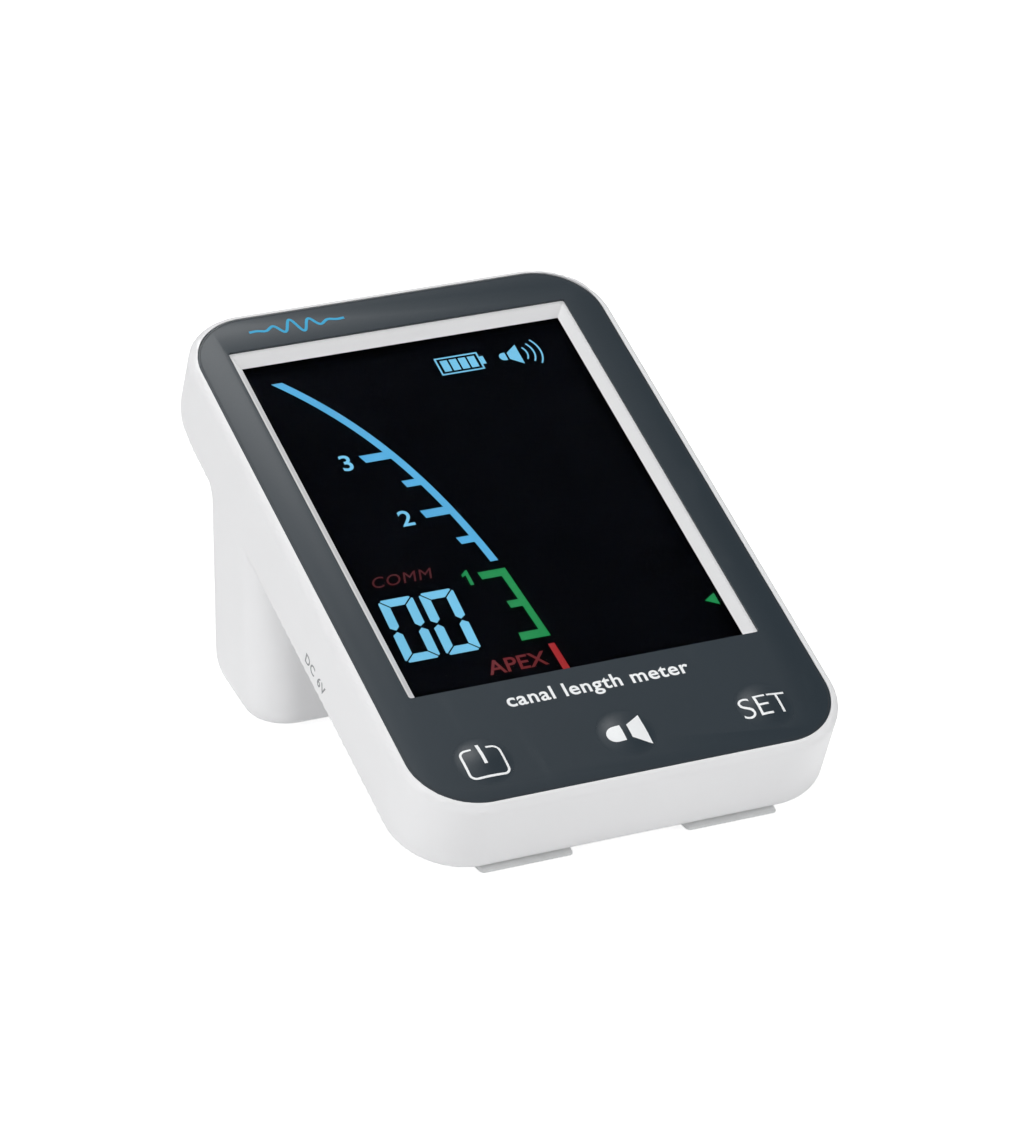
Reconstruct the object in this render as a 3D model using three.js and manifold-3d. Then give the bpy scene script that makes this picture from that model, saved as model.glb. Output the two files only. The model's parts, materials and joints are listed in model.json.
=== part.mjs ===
// Desktop apex locator for dental root-canal length measurement: a sloped display head
// on a battery leg. Millimetres, +Z up, +X to the user's right, the keys face -Y.
// Two frames are used. The "leg frame" has its z on the table and its y on the middle
// of the faceplate. The "head frame" lies in the sloped faceplate: x across, y up the
// slope and z out of the plate, with its zero on the plate's outer surface.

import * as THREE from 'three';
import { mergeVertices } from 'three/addons/utils/BufferGeometryUtils.js';
import Module from 'manifold-3d';

const wasm = await Module();
wasm.setup();

// ---------------------------------------------------------------- driving dimensions
const gap = 0.3;                      // air between neighbouring pieces
const wall = 2;                       // shell thickness
const legWall = 2.1;                  // a little more, so no leg face shares a plane with the head
const tilt = THREE.MathUtils.degToRad(23.9);
const plateHeight = 40.2;             // faceplate centre above the table
const overshoot = 1;                  // how far a cutter runs past what it cuts

const head = { halfX: 41.2, halfY: 61.2, radius: 13.2, depth: 15.8, bevel: 1.5 };
const overlay = { halfX: 39.5, halfY: 59.65, radius: 11.5, thick: 0.5 };
const opening = { halfX: 33.2, bottom: -34.6, top: 51.8 };        // window in the overlay
const bevelInset = { side: 2, top: 2.66, bottom: 1, depth: 2 };   // sloped white frame
const lens = { halfX: 33.6, bottom: -38.3, top: 54, thick: 0.8 };
const frameWall = 0.8;                // of the plastic frame round the display glass
const glassThick = 2.4;
const backlightThick = 2.9;
const board = { halfX: 33.4, halfY: 57.5, radius: 10, top: -9.6, thick: 1.6 };

const leg = { halfX: 41.15, front: 16.2, back: 47, base: 1, frontRadius: 6, backRadius: 13, baseRound: 6 };
const overhang = { start: 36.2, radius: 13 };     // hollow curve from the leg to the head
const cell = { radius: 5.25, length: 44.5, nubRadius: 1.9, nubLength: 0.8, pitch: 10.8 };
const holder = { halfX: 25.8, wall: 1 };
const contact = { thick: 0.4, inset: 0.5 };
const spring = { turns: 2.25, wire: 0.3, coil: 2.8, taper: 0.35 };
const door = { halfX: 26.7, bottom: 7.4, top: 33.4 };
const doorGrip = { halfX: 7, height: 5, depth: 0.8 };
const doorHook = { x: 17, halfX: 4, thick: 1.2, rise: 3, root: 0.4, sink: 0.5, drop: 1.2 };
const doorRib = { inset: 4, low: 19.5, high: 21, thick: 1 };
const seam = { legHalfX: 27, lift: 0.2, past: 0.1, below: 20 };   // where the cover meets the housing

const keyRow = -51;
const keys = [
  { name: 'power', x: -26.3 },
  { name: 'volume', x: 0.2 },
  { name: 'set', x: 26.5 },
];
const key = {
  domeRadius: 5.2, crown: 0.6, plungerRadius: 4, neckRadius: 2.4,
  flangeRadius: 5, flangeThick: 0.8, stemRadius: 1.7,
};
const tact = { half: 3, rise: 3.8, stemRise: 1, stemSunk: 1.2 };  // switch under each key

const coverScrewSpots = [[-36.6, -40], [36.6, -40], [-36.6, 6], [36.6, 6]];
const boardScrewSpots = [[-31, -42], [31, -42], [-30, 56.4], [30, 56.4]];
const boss = { coverRadius: 2.6, coverHole: 1.3, boardRadius: 2, boardHole: 0.95 };

const jack = {
  x: -31.5, z: 24.2, collarRadius: 3.6, bore: 2.9, boreDepth: 9, pinRadius: 1,
  setBack: 1, halfX: 4.25, halfZ: 5, length: 11.5, pinSetBack: 1.2, pinRoot: 2.6,
};
const socket = { y: 29.5, z: 22, collarRadius: 4.2, bore: 2.6, boreDepth: 6, half: 4.5, length: 11 };
const sunkCollar = 0.2;               // how far the collars stay behind the outer face

const screw = {
  coverHead: 2.2, coverSeat: -14.3, coverShank: 1, coverTip: -7,
  boardHead: 1.7, boardHeadThick: 1.1, boardShank: 0.65, boardTip: -5,
  driveWidth: 0.35, driveDepth: 0.6,  // of the recess, as shares of the head's size
};
const soundSlots = { x: 0, y: -44, count: 5, pitch: 2.6, halfLength: 6, halfWidth: 0.6 };
const buzzerSpot = { x: 13.3, y: -46, radius: 6, height: 5.5, chamfer: 0.4, hole: 1, holeDepth: 3 };
const chip = { halfX: 7, bottom: -5, top: 9, thick: 1.4 };
const contactStrip = { height: 2.4, inset: 4 };
const frontFeet = { x: 19.4, halfX: 8.7, front: -49.2, back: -40 };
const rearFeet = { x: 30.8, y: 33.5, halfX: 4, halfY: 6.5, radius: 2 };
const leads = { red: -20, black: -16, y: 30, socketX: 33, socketTopX: 29, radius: 0.6, sag: 0.8, sway: 1 };

const innerTop = -wall;                            // underside of the head's face wall
const floorTop = -(head.depth - wall);             // inside of the head's floor
const lensTop = innerTop - gap;
const glassTop = lensTop - lens.thick - gap;
const backlightTop = glassTop - glassThick - gap;
const boardBottom = board.top - board.thick;
const switchTop = board.top + tact.rise;

// ---------------------------------------------------------------- materials
const finish = (color, roughness, metalness = 0) => ({ color, roughness, metalness });
const whiteAbs = finish('#e6e6e5', 0.42);
const slateFilm = finish('#39434b', 0.5);
const clearAcrylic = finish('#0c1014', 0.08);
const lcdBlack = finish('#0a0d11', 0.15);
const milkyPlastic = finish('#d9dcda', 0.5);
const boardGreen = finish('#1d5b37', 0.55);
const chipBlack = finish('#191a1c', 0.6);
const softRubber = finish('#8d9092', 0.85);
const steel = finish('#b9bcc0', 0.3, 1);
const nickel = finish('#c9c6bd', 0.28, 1);
const darkPlastic = finish('#232528', 0.55);
const cellJacket = finish('#2c5a86', 0.35, 0.3);
const redWire = finish('#b3261f', 0.5);
const blackWire = finish('#1a1a1b', 0.5);

// ---------------------------------------------------------------- solid helpers
function toSolid(geometry) {
  const bare = geometry.clone();
  bare.deleteAttribute('normal');
  bare.deleteAttribute('uv');
  const merged = mergeVertices(bare, 1e-4);
  return new wasm.Manifold(new wasm.Mesh({
    numProp: 3,
    vertProperties: new Float32Array(merged.attributes.position.array),
    triVerts: new Uint32Array(merged.index.array),
  }));
}

function toGeometry(solid) {
  const mesh = solid.getMesh();
  const geometry = new THREE.BufferGeometry();
  geometry.setAttribute('position', new THREE.BufferAttribute(mesh.vertProperties, 3));
  geometry.setIndex(new THREE.BufferAttribute(mesh.triVerts, 1));
  geometry.computeVertexNormals();
  return geometry;
}

function carve(base, cutters) {
  return toGeometry(cutters.reduce((solid, cutter) => solid.subtract(toSolid(cutter)), toSolid(base)));
}

function join(first, others) {
  return toGeometry(others.reduce((solid, other) => solid.add(toSolid(other)), toSolid(first)));
}

const moved = (geometry, x, y, z) => geometry.clone().translate(x, y, z);

function roundedRect(halfX, halfY, radius, centreX = 0, centreY = 0) {
  const shape = new THREE.Shape();
  const x = halfX - radius;
  const y = halfY - radius;
  const quarter = Math.PI / 2;
  shape.absarc(centreX + x, centreY + y, radius, 0, quarter, false);
  shape.absarc(centreX - x, centreY + y, radius, quarter, 2 * quarter, false);
  shape.absarc(centreX - x, centreY - y, radius, 2 * quarter, 3 * quarter, false);
  shape.absarc(centreX + x, centreY - y, radius, 3 * quarter, 4 * quarter, false);
  shape.closePath();
  return shape;
}

// A shape drawn in x and y, raised from low to high along z, with its rims rounded by bevel.
function slab(shape, low, high, bevel = 0, curveSegments = 6) {
  const geometry = new THREE.ExtrudeGeometry(shape, {
    depth: high - low - 2 * bevel,
    curveSegments,
    bevelEnabled: bevel > 0,
    bevelThickness: bevel,
    bevelSize: bevel,
    bevelOffset: -bevel,
    bevelSegments: 2,
  });
  return geometry.translate(0, 0, low + bevel);
}

function block(lowX, highX, lowY, highY, lowZ, highZ) {
  const box = new THREE.BoxGeometry(highX - lowX, highY - lowY, highZ - lowZ);
  return box.translate((lowX + highX) / 2, (lowY + highY) / 2, (lowZ + highZ) / 2);
}

// A profile of [radius, z] pairs, from the axis round to the axis, turned about z.
function turned(profile, segments = 20) {
  const points = profile.map(([radius, z]) => new THREE.Vector2(radius, z));
  return new THREE.LatheGeometry(points, segments).rotateX(Math.PI / 2);
}

function rod(radius, low, high, segments = 20) {
  return turned([[0, low], [radius, low], [radius, high], [0, high]], segments);
}

// An outline of [y, z] pairs drawn in the side view and drawn out across x.
function sidePrism(outline, halfX, centreX = 0) {
  const shape = new THREE.Shape(outline.map(([y, z]) => new THREE.Vector2(y, z)));
  const geometry = new THREE.ExtrudeGeometry(shape, { depth: 2 * halfX, bevelEnabled: false });
  geometry.rotateX(Math.PI / 2).rotateZ(Math.PI / 2);
  return geometry.translate(centreX - halfX, 0, 0);
}

function wire(points, radius, steps, sides = 8) {
  const route = new THREE.CatmullRomCurve3(points.map((p) => new THREE.Vector3(...p)));
  return sweep(route, radius, steps, sides);
}

function sweep(route, radius, steps, sides) {
  const section = new THREE.Shape();
  section.absarc(0, 0, radius, 0, 2 * Math.PI, false);
  const outline = new THREE.Shape(section.getSpacedPoints(sides).slice(0, sides));
  return new THREE.ExtrudeGeometry(outline, { steps, extrudePath: route, bevelEnabled: false });
}

// A closed solid through level outlines that all have the same number of points.
function stack(levels) {
  const count = levels[0].points.length;
  const positions = levels.flatMap(({ z, points }) => points.flatMap((p) => [p.x, p.y, z]));
  const index = [];
  for (let row = 0; row < levels.length - 1; row += 1) {
    for (let i = 0; i < count; i += 1) {
      const a = row * count + i;
      const b = row * count + ((i + 1) % count);
      index.push(a, b, b + count, a, b + count, a + count);
    }
  }
  const last = (levels.length - 1) * count;
  for (let i = 1; i < count - 1; i += 1) {
    index.push(0, i + 1, i, last, last + i, last + i + 1);
  }
  const geometry = new THREE.BufferGeometry();
  geometry.setAttribute('position', new THREE.Float32BufferAttribute(positions, 3));
  geometry.setIndex(index);
  return geometry;
}

// ---------------------------------------------------------------- head and leg frames
const headMatrix = new THREE.Matrix4().makeRotationX(tilt).setPosition(0, 0, plateHeight);
const inLegFrame = (geometry) => geometry.clone().applyMatrix4(headMatrix);
const headPoint = (y, z) => {
  const point = new THREE.Vector3(0, y, z).applyMatrix4(headMatrix);
  return [point.y, point.z];
};
// Height at which the head's plane z = depth stands over a y of the leg frame.
const planeHeight = (depth, y) => {
  const [y0, z0] = headPoint(0, depth);
  return z0 + (y - y0) * Math.tan(tilt);
};

// ---------------------------------------------------------------- shells
function legOutline(halfX, front, back, frontRadius, backRadius) {
  const quarter = Math.PI / 2;
  const corners = [
    [halfX - backRadius, back - backRadius, backRadius, 0],
    [-halfX + backRadius, back - backRadius, backRadius, quarter],
    [-halfX + frontRadius, front + frontRadius, frontRadius, 2 * quarter],
    [halfX - frontRadius, front + frontRadius, frontRadius, 3 * quarter],
  ];
  const turns = 6;
  return corners.flatMap(([x, y, radius, start]) => Array.from({ length: turns + 1 }, (_, k) => {
    const angle = start + (quarter * k) / turns;
    return new THREE.Vector2(x + radius * Math.cos(angle), y + radius * Math.sin(angle));
  }));
}

// The leg, shrunk by inset on all sides: a rounded foot, straight walls, and a back that
// sweeps out under the head along a hollow arc. Its front leans back inside the head.
function legBlock(inset) {
  const levels = [];
  const frontStart = planeHeight(-head.depth, leg.front);
  const topHeight = overhang.start + overhang.radius - wall;
  const level = (z, back, shrink) => {
    const lean = Math.max(0, z - frontStart) / (topHeight - frontStart);
    const front = leg.front + inset + lean * (overhang.radius + 3 * wall);
    levels.push({
      z,
      points: legOutline(
        leg.halfX - inset - shrink,
        front,
        back - shrink,
        leg.frontRadius - inset,
        leg.backRadius - inset,
      ),
    });
  };
  const round = leg.baseRound - inset;
  const roundSteps = 3;
  for (let k = 0; k <= roundSteps; k += 1) {
    const angle = (Math.PI / 2) * (k / roundSteps);
    const rise = round * (1 - Math.cos(angle));
    level(leg.base + inset + rise, leg.back - inset, round * (1 - Math.sin(angle)));
  }
  level(frontStart, leg.back - inset, 0);
  const arcRadius = overhang.radius + inset;
  const arcTurn = Math.asin((topHeight - overhang.start) / arcRadius);
  const arcSteps = 4;
  for (let k = 0; k <= arcSteps; k += 1) {
    const angle = (arcTurn * k) / arcSteps;
    const back = leg.back + overhang.radius - arcRadius * Math.cos(angle);
    level(overhang.start + arcRadius * Math.sin(angle), back, 0);
  }
  return stack(levels);
}

function hollowBody() {
  const outerHead = slab(roundedRect(head.halfX, head.halfY, head.radius), -head.depth, 0, head.bevel);
  const innerShape = roundedRect(head.halfX - wall, head.halfY - wall, head.radius - wall);
  const innerHead = slab(innerShape, floorTop, innerTop);
  const outer = toSolid(inLegFrame(outerHead)).add(toSolid(legBlock(0)));
  return outer.subtract(toSolid(inLegFrame(innerHead))).subtract(toSolid(legBlock(legWall)));
}

// The region that belongs to the bottom cover, grown by grow for the cut in the housing.
function coverRegion(grow) {
  const reach = head.depth + seam.below;
  const front = -(head.halfY - wall - 2 * gap) - grow;
  const ceiling = floorTop + seam.lift;
  const headFloor = [
    headPoint(front, ceiling),
    [leg.front - gap, planeHeight(ceiling, leg.front - gap)],
    [leg.front - gap, planeHeight(-reach, leg.front - gap)],
    headPoint(front, -reach),
  ];
  const legHeight = planeHeight(ceiling, leg.front + wall);
  const legBack = leg.back - leg.baseRound + grow;
  const legFront = [
    [leg.front - 2 * gap - overshoot, planeHeight(ceiling, leg.front - 2 * gap - overshoot)],
    [leg.front + wall + seam.past, legHeight],
    [leg.front + wall + seam.past, leg.base + wall + seam.past],
    [legBack, leg.base + wall + seam.past],
    [legBack, leg.base - overshoot],
    [leg.front - 2 * gap - overshoot, leg.base - overshoot],
  ];
  const floorPart = sidePrism(headFloor, head.halfX - wall - 2 * gap + grow);
  const legPart = sidePrism(legFront, seam.legHalfX + grow);
  return toSolid(floorPart).add(toSolid(legPart));
}

const shell = hollowBody();

function mainHousing() {
  const recess = slab(
    roundedRect(overlay.halfX + gap, overlay.halfY + gap, overlay.radius + gap),
    -overlay.thick - gap,
    overshoot,
  );
  const cuts = [inLegFrame(recess), inLegFrame(windowCutter())];
  keys.forEach(({ x }) => {
    const hole = rod(key.plungerRadius + gap, innerTop - overshoot, overshoot, 24);
    cuts.push(inLegFrame(moved(hole, x, keyRow, 0)));
  });
  const posts = [
    ...coverScrewSpots.map(([x, y]) => post(x, y, boss.coverRadius, boss.coverHole, floorTop + gap)),
    ...boardScrewSpots.map(([x, y]) => post(x, y, boss.boardRadius, boss.boardHole, board.top + gap)),
  ];
  cuts.push(
    rod(jack.collarRadius + gap, leg.front - overshoot, leg.front + wall + overshoot)
      .rotateX(-Math.PI / 2).translate(jack.x, 0, jack.z),
    rod(socket.collarRadius + gap, head.halfX - wall - overshoot, head.halfX + overshoot)
      .rotateY(Math.PI / 2).translate(0, socket.y, socket.z),
    block(
      -door.halfX - gap, door.halfX + gap,
      leg.back - wall - overshoot, leg.back + overshoot,
      door.bottom - gap, door.top + gap,
    ),
  );
  let solid = shell.subtract(coverRegion(gap));
  cuts.forEach((cutter) => { solid = solid.subtract(toSolid(cutter)); });
  posts.forEach((geometry) => { solid = solid.add(toSolid(geometry)); });
  return toGeometry(solid);
}

function post(x, y, radius, hole, bottom) {
  const root = innerTop + gap;
  const depth = 1.5 * radius;
  const body = carve(rod(radius, bottom, root, 14), [rod(hole, bottom - overshoot, root - depth, 10)]);
  return inLegFrame(moved(body, x, y, 0));
}

// The opening's sides slope inwards from the overlay's edge down to the display.
function windowCutter() {
  const cutter = new THREE.BoxGeometry(2, 2, 2);
  const place = cutter.attributes.position;
  for (let i = 0; i < place.count; i += 1) {
    const z = place.getZ(i) > 0 ? overshoot : -bevelInset.depth - overshoot;
    const inset = -z / bevelInset.depth;
    const halfX = opening.halfX - inset * bevelInset.side;
    const top = opening.top - inset * bevelInset.top;
    const bottom = opening.bottom + inset * bevelInset.bottom;
    place.setXYZ(i, place.getX(i) * halfX, place.getY(i) > 0 ? top : bottom, z);
  }
  return cutter;
}

function bottomCover() {
  const under = -head.depth - overshoot;
  const cuts = [];
  coverScrewSpots.forEach(([x, y]) => {
    cuts.push(moved(rod(boss.coverHole, under, floorTop + overshoot, 12), x, y, 0));
    cuts.push(moved(rod(screw.coverHead + gap, under, screw.coverSeat, 16), x, y, 0));
  });
  for (let k = 0; k < soundSlots.count; k += 1) {
    const y = soundSlots.y + (k - (soundSlots.count - 1) / 2) * soundSlots.pitch;
    const { x, halfLength, halfWidth } = soundSlots;
    cuts.push(block(
      x - halfLength, x + halfLength, y - halfWidth, y + halfWidth, under, floorTop + overshoot,
    ));
  }
  const cover = shell.intersect(coverRegion(0));
  return toGeometry(cuts.reduce((solid, cut) => solid.subtract(toSolid(inLegFrame(cut))), cover));
}

// A flat lid in the back of the leg with two hooks that hold behind the sill, a finger
// recess at the top and a stiffening rib across its inside.
function batteryDoor() {
  const inner = leg.back - wall;
  const panel = block(-door.halfX, door.halfX, inner, leg.back, door.bottom, door.top);
  const grip = block(
    -doorGrip.halfX, doorGrip.halfX, leg.back - doorGrip.depth, leg.back + overshoot,
    door.top - doorGrip.height, door.top + overshoot,
  );
  const { halfX, thick, rise, root, sink, drop } = doorHook;
  const hooks = [-doorHook.x, doorHook.x].map((x) => join(
    block(x - halfX, x + halfX, inner - thick, inner + sink, door.bottom + root, door.bottom + rise),
    [block(x - halfX, x + halfX, inner - thick, inner - 2 * gap, door.bottom - drop, door.bottom + drop)],
  ));
  const ribHalf = door.halfX - doorRib.inset;
  const rib = block(-ribHalf, ribHalf, inner - doorRib.thick, inner + sink, doorRib.low, doorRib.high);
  return carve(join(panel, [...hooks, rib]), [grip]);
}

// ---------------------------------------------------------------- face and display
function faceplateOverlay() {
  const sheet = roundedRect(overlay.halfX, overlay.halfY, overlay.radius);
  const film = slab(sheet, -overlay.thick, 0);
  const centreY = (opening.top + opening.bottom) / 2;
  const half = (opening.top - opening.bottom) / 2;
  const window = moved(block(
    -opening.halfX, opening.halfX, -half, half, -overlay.thick - overshoot, overshoot,
  ), 0, centreY, 0);
  const holes = keys.map(({ x }) => moved(
    rod(key.domeRadius + gap, -overlay.thick - overshoot, overshoot, 28), x, keyRow, 0,
  ));
  return carve(film, [window, ...holes]);
}

const panelBlock = (halfX, bottom, top, low, high) => block(-halfX, halfX, bottom, top, low, high);

function lcdFrame() {
  const low = board.top + gap;
  const high = lensTop - lens.thick - gap;
  const outer = panelBlock(lens.halfX, lens.bottom, lens.top, low, high);
  const hollow = panelBlock(
    lens.halfX - frameWall, lens.bottom + frameWall, lens.top - frameWall,
    low - overshoot, high + overshoot,
  );
  return carve(outer, [hollow]);
}

function mainBoard() {
  const plate = slab(roundedRect(board.halfX, board.halfY, board.radius), boardBottom, board.top);
  const holes = boardScrewSpots.map(([x, y]) => moved(
    rod(screw.boardShank + gap, boardBottom - overshoot, board.top + overshoot, 12), x, y, 0,
  ));
  return carve(plate, holes);
}

function buzzer() {
  const { radius, height, chamfer, hole, holeDepth } = buzzerSpot;
  const low = board.top + gap;
  const high = low + height;
  return turned([
    [0, low], [radius, low], [radius, high - chamfer], [radius - chamfer, high],
    [hole, high], [hole, high - holeDepth], [0, high - holeDepth],
  ], 20);
}

// ---------------------------------------------------------------- keys
function keyDome() {
  const edge = key.domeRadius;
  const steps = 3;
  const profile = [[0, -overlay.thick], [edge, -overlay.thick], [edge, 0]];
  for (let k = 1; k <= steps; k += 1) {
    const share = k / steps;
    profile.push([edge * (1 - share), key.crown * Math.sin((share * Math.PI) / 2)]);
  }
  return turned(profile, 20);
}

// The plunger hangs in the housing behind its flange and bears on the switch stem.
function keyPlunger() {
  const top = -overlay.thick - gap;
  const flangeTop = innerTop - gap;
  const flangeLow = flangeTop - key.flangeThick;
  const low = switchTop + tact.stemRise + gap;
  return turned([
    [0, low], [key.neckRadius, low], [key.neckRadius, flangeLow], [key.flangeRadius, flangeLow],
    [key.flangeRadius, flangeTop], [key.plungerRadius, flangeTop], [key.plungerRadius, top], [0, top],
  ], 16);
}

function switchStem() {
  return rod(key.stemRadius, switchTop - tact.stemSunk, switchTop + tact.stemRise, 12);
}

function tactSwitch() {
  const { half } = tact;
  const body = block(-half, half, -half, half, board.top + gap, switchTop);
  const wellFloor = switchTop - 2 * tact.stemSunk;
  const well = rod(key.stemRadius + gap, wellFloor, switchTop + overshoot, 12);
  return carve(body, [well]);
}

// ---------------------------------------------------------------- fasteners and feet
function panScrew(headRadius, headLow, headHigh, shankRadius, shankTop) {
  const driveRadius = headRadius * screw.driveWidth;
  const driveTop = headLow + (headHigh - headLow) * screw.driveDepth;
  return turned([
    [0, driveTop], [driveRadius, driveTop], [driveRadius, headLow],
    [headRadius, headLow], [headRadius, headHigh], [shankRadius, headHigh],
    [shankRadius, shankTop - shankRadius], [0, shankTop],
  ], 10);
}

function frontFoot(centreX) {
  const { front, back, halfX } = frontFeet;
  const under = -head.depth - gap / Math.cos(tilt);
  return sidePrism([
    [front, 0], [back, 0], [back, planeHeight(under, back)], [front, planeHeight(under, front)],
  ], halfX, centreX);
}

function rearFoot(x) {
  const { halfX, halfY, radius, y } = rearFeet;
  return slab(roundedRect(halfX, halfY, radius, x, y), 0, leg.base - gap, 0, 3);
}

// ---------------------------------------------------------------- power and leads
const rowY = (row) => leg.front + wall + 2 * gap + holder.wall + cell.radius + row * cell.pitch;
const rowZ = (row) => leg.base + wall + 2 * gap + holder.wall + cell.radius + row * cell.pitch;

function batteryHolder() {
  const front = leg.front + wall + gap;
  const back = rowY(1) + cell.radius + gap;
  const low = leg.base + wall + gap;
  const high = rowZ(1) + cell.radius + gap + holder.wall;
  const tray = block(-holder.halfX, holder.halfX, front, back, low, high);
  const hollow = block(
    -holder.halfX + holder.wall, holder.halfX - holder.wall,
    front + holder.wall, back + overshoot, low + holder.wall, high - holder.wall,
  );
  return carve(tray, [hollow]);
}

const contactInner = holder.halfX - holder.wall - gap;
const springRoom = 2 * (contactInner - contact.thick) - cell.length - cell.nubLength - 2 * gap;

function contactPlate(side) {
  const reach = cell.radius - contact.inset;
  const half = contact.thick / 2;
  const x = side * (contactInner - half);
  return block(x - half, x + half, rowY(0) - reach, rowY(1) + reach, rowZ(0) - reach, rowZ(1) + reach);
}

// Lies along +x with its flat end at start and its nub pointing away from it.
function batteryCell() {
  const { radius, length, nubRadius, nubLength } = cell;
  return turned([
    [0, 0], [radius - 0.4, 0], [radius, 0.4], [radius, length - 0.4], [radius - 0.4, length],
    [nubRadius, length], [nubRadius, length + nubLength], [0, length + nubLength],
  ], 16).rotateY(Math.PI / 2);
}

function cellSpring() {
  const { turns, wire: wireRadius, coil, taper } = spring;
  const rise = springRoom - 2 * gap - 2 * wireRadius;
  class Coil extends THREE.Curve {
    getPoint(t, target = new THREE.Vector3()) {
      const angle = 2 * Math.PI * turns * t;
      const radius = coil * (1 - taper * t);
      return target.set(rise * t, radius * Math.cos(angle), radius * Math.sin(angle));
    }
  }
  return sweep(new Coil(), wireRadius, 22, 5).translate(gap + wireRadius, 0, 0);
}

function dcJack() {
  const { x, z, halfX, halfZ } = jack;
  const bodyFront = leg.front + wall + jack.setBack;
  const body = block(x - halfX, x + halfX, bodyFront, bodyFront + jack.length, z - halfZ, z + halfZ);
  const along = (geometry) => geometry.rotateX(-Math.PI / 2).translate(x, 0, z);
  const collar = along(rod(jack.collarRadius, leg.front + sunkCollar, bodyFront + overshoot, 20));
  const bore = along(rod(jack.bore, leg.front - overshoot, leg.front + jack.boreDepth, 18));
  const pinFloor = leg.front + jack.boreDepth + jack.pinRoot + gap;
  const pinHole = along(rod(jack.pinRadius + gap, leg.front, pinFloor, 10));
  return carve(join(body, [collar]), [bore, pinHole]);
}

function dcJackPin() {
  const low = leg.front + jack.pinSetBack;
  const high = leg.front + jack.boreDepth + jack.pinRoot;
  return rod(jack.pinRadius, low, high, 12).rotateX(-Math.PI / 2).translate(jack.x, 0, jack.z);
}

function leadSocket() {
  const bodyEnd = head.halfX - wall - gap;
  const { y, z, half } = socket;
  const body = block(bodyEnd - socket.length, bodyEnd, y - half, y + half, z - half, z + half);
  const along = (geometry) => geometry.rotateY(Math.PI / 2).translate(0, y, z);
  const collar = along(rod(socket.collarRadius, bodyEnd - overshoot, head.halfX - sunkCollar, 24));
  const bore = along(rod(socket.bore, head.halfX - socket.boreDepth, head.halfX + overshoot, 18));
  return carve(join(body, [collar]), [bore]);
}

function riseToBoard(x, y, fromZ, toX = x) {
  const end = planeHeight(boardBottom, y) - leads.sway;
  const middle = (fromZ + end) / 2;
  const bent = y - leads.sag;
  return wire([
    [x, y, fromZ], [x, bent, middle - leads.sway], [toX, bent, middle + leads.sway], [toX, y, end],
  ], leads.radius, 9, 6);
}

// ---------------------------------------------------------------- assembly
const part = new THREE.Group();
const headGroup = new THREE.Group();
headGroup.rotation.x = tilt;
headGroup.position.z = plateHeight;
part.add(headGroup);

function add(name, geometry, look, group = part) {
  const mesh = new THREE.Mesh(geometry, new THREE.MeshStandardMaterial(look));
  mesh.name = name;
  group.add(mesh);
  return mesh;
}

add('main_housing', mainHousing(), whiteAbs);
add('bottom_cover', bottomCover(), whiteAbs);
add('battery_door', batteryDoor(), whiteAbs);

add('faceplate_overlay', faceplateOverlay(), slateFilm, headGroup);
const lensSpan = [lens.halfX, lens.bottom, lens.top];
add('display_window', panelBlock(...lensSpan, lensTop - lens.thick, lensTop), clearAcrylic, headGroup);
add('lcd_frame', lcdFrame(), milkyPlastic, headGroup);
const glass = {
  halfX: lens.halfX - frameWall - gap,
  bottom: lens.bottom + frameWall + gap,
  top: lens.top - frameWall - gap,
};
add('lcd_glass', panelBlock(glass.halfX, glass.bottom, glass.top, glassTop - glassThick, glassTop),
  lcdBlack, headGroup);
add('lcd_backlight', panelBlock(glass.halfX, glass.bottom + contactStrip.height + gap, glass.top,
  backlightTop - backlightThick, backlightTop), milkyPlastic, headGroup);
add('lcd_contact_strip', panelBlock(glass.halfX - contactStrip.inset, glass.bottom,
  glass.bottom + contactStrip.height, board.top + gap, backlightTop), softRubber, headGroup);
add('main_board', mainBoard(), boardGreen, headGroup);
add('controller_chip', panelBlock(chip.halfX, chip.bottom, chip.top,
  boardBottom - gap - chip.thick, boardBottom - gap), chipBlack, headGroup);
add('buzzer', buzzer(), darkPlastic, headGroup).position.set(buzzerSpot.x, buzzerSpot.y, 0);

keys.forEach(({ name, x }) => {
  const pieces = [
    ['key_dome', keyDome(), slateFilm],
    ['key_plunger', keyPlunger(), whiteAbs],
    ['switch_stem', switchStem(), darkPlastic],
    ['switch_body', tactSwitch(), steel],
  ];
  pieces.forEach(([piece, geometry, look]) => {
    add(`${name}_${piece}`, geometry, look, headGroup).position.set(x, keyRow, 0);
  });
});

coverScrewSpots.forEach(([x, y], i) => {
  const { coverHead, coverSeat, coverShank, coverTip } = screw;
  const geometry = panScrew(coverHead, -head.depth + gap, coverSeat - gap, coverShank, coverTip);
  add(`cover_screw_${i + 1}`, geometry, steel, headGroup).position.set(x, y, 0);
});
boardScrewSpots.forEach(([x, y], i) => {
  const headHigh = boardBottom - gap;
  const { boardHead, boardHeadThick, boardShank, boardTip } = screw;
  const geometry = panScrew(boardHead, headHigh - boardHeadThick, headHigh, boardShank, boardTip);
  add(`board_screw_${i + 1}`, geometry, steel, headGroup).position.set(x, y, 0);
});

[['left', -1], ['right', 1]].forEach(([side, sign]) => {
  add(`front_foot_${side}`, frontFoot(sign * frontFeet.x), softRubber);
  add(`rear_foot_${side}`, rearFoot(sign * rearFeet.x), softRubber);
  add(`contact_plate_${side}`, contactPlate(sign), nickel);
});

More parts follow.
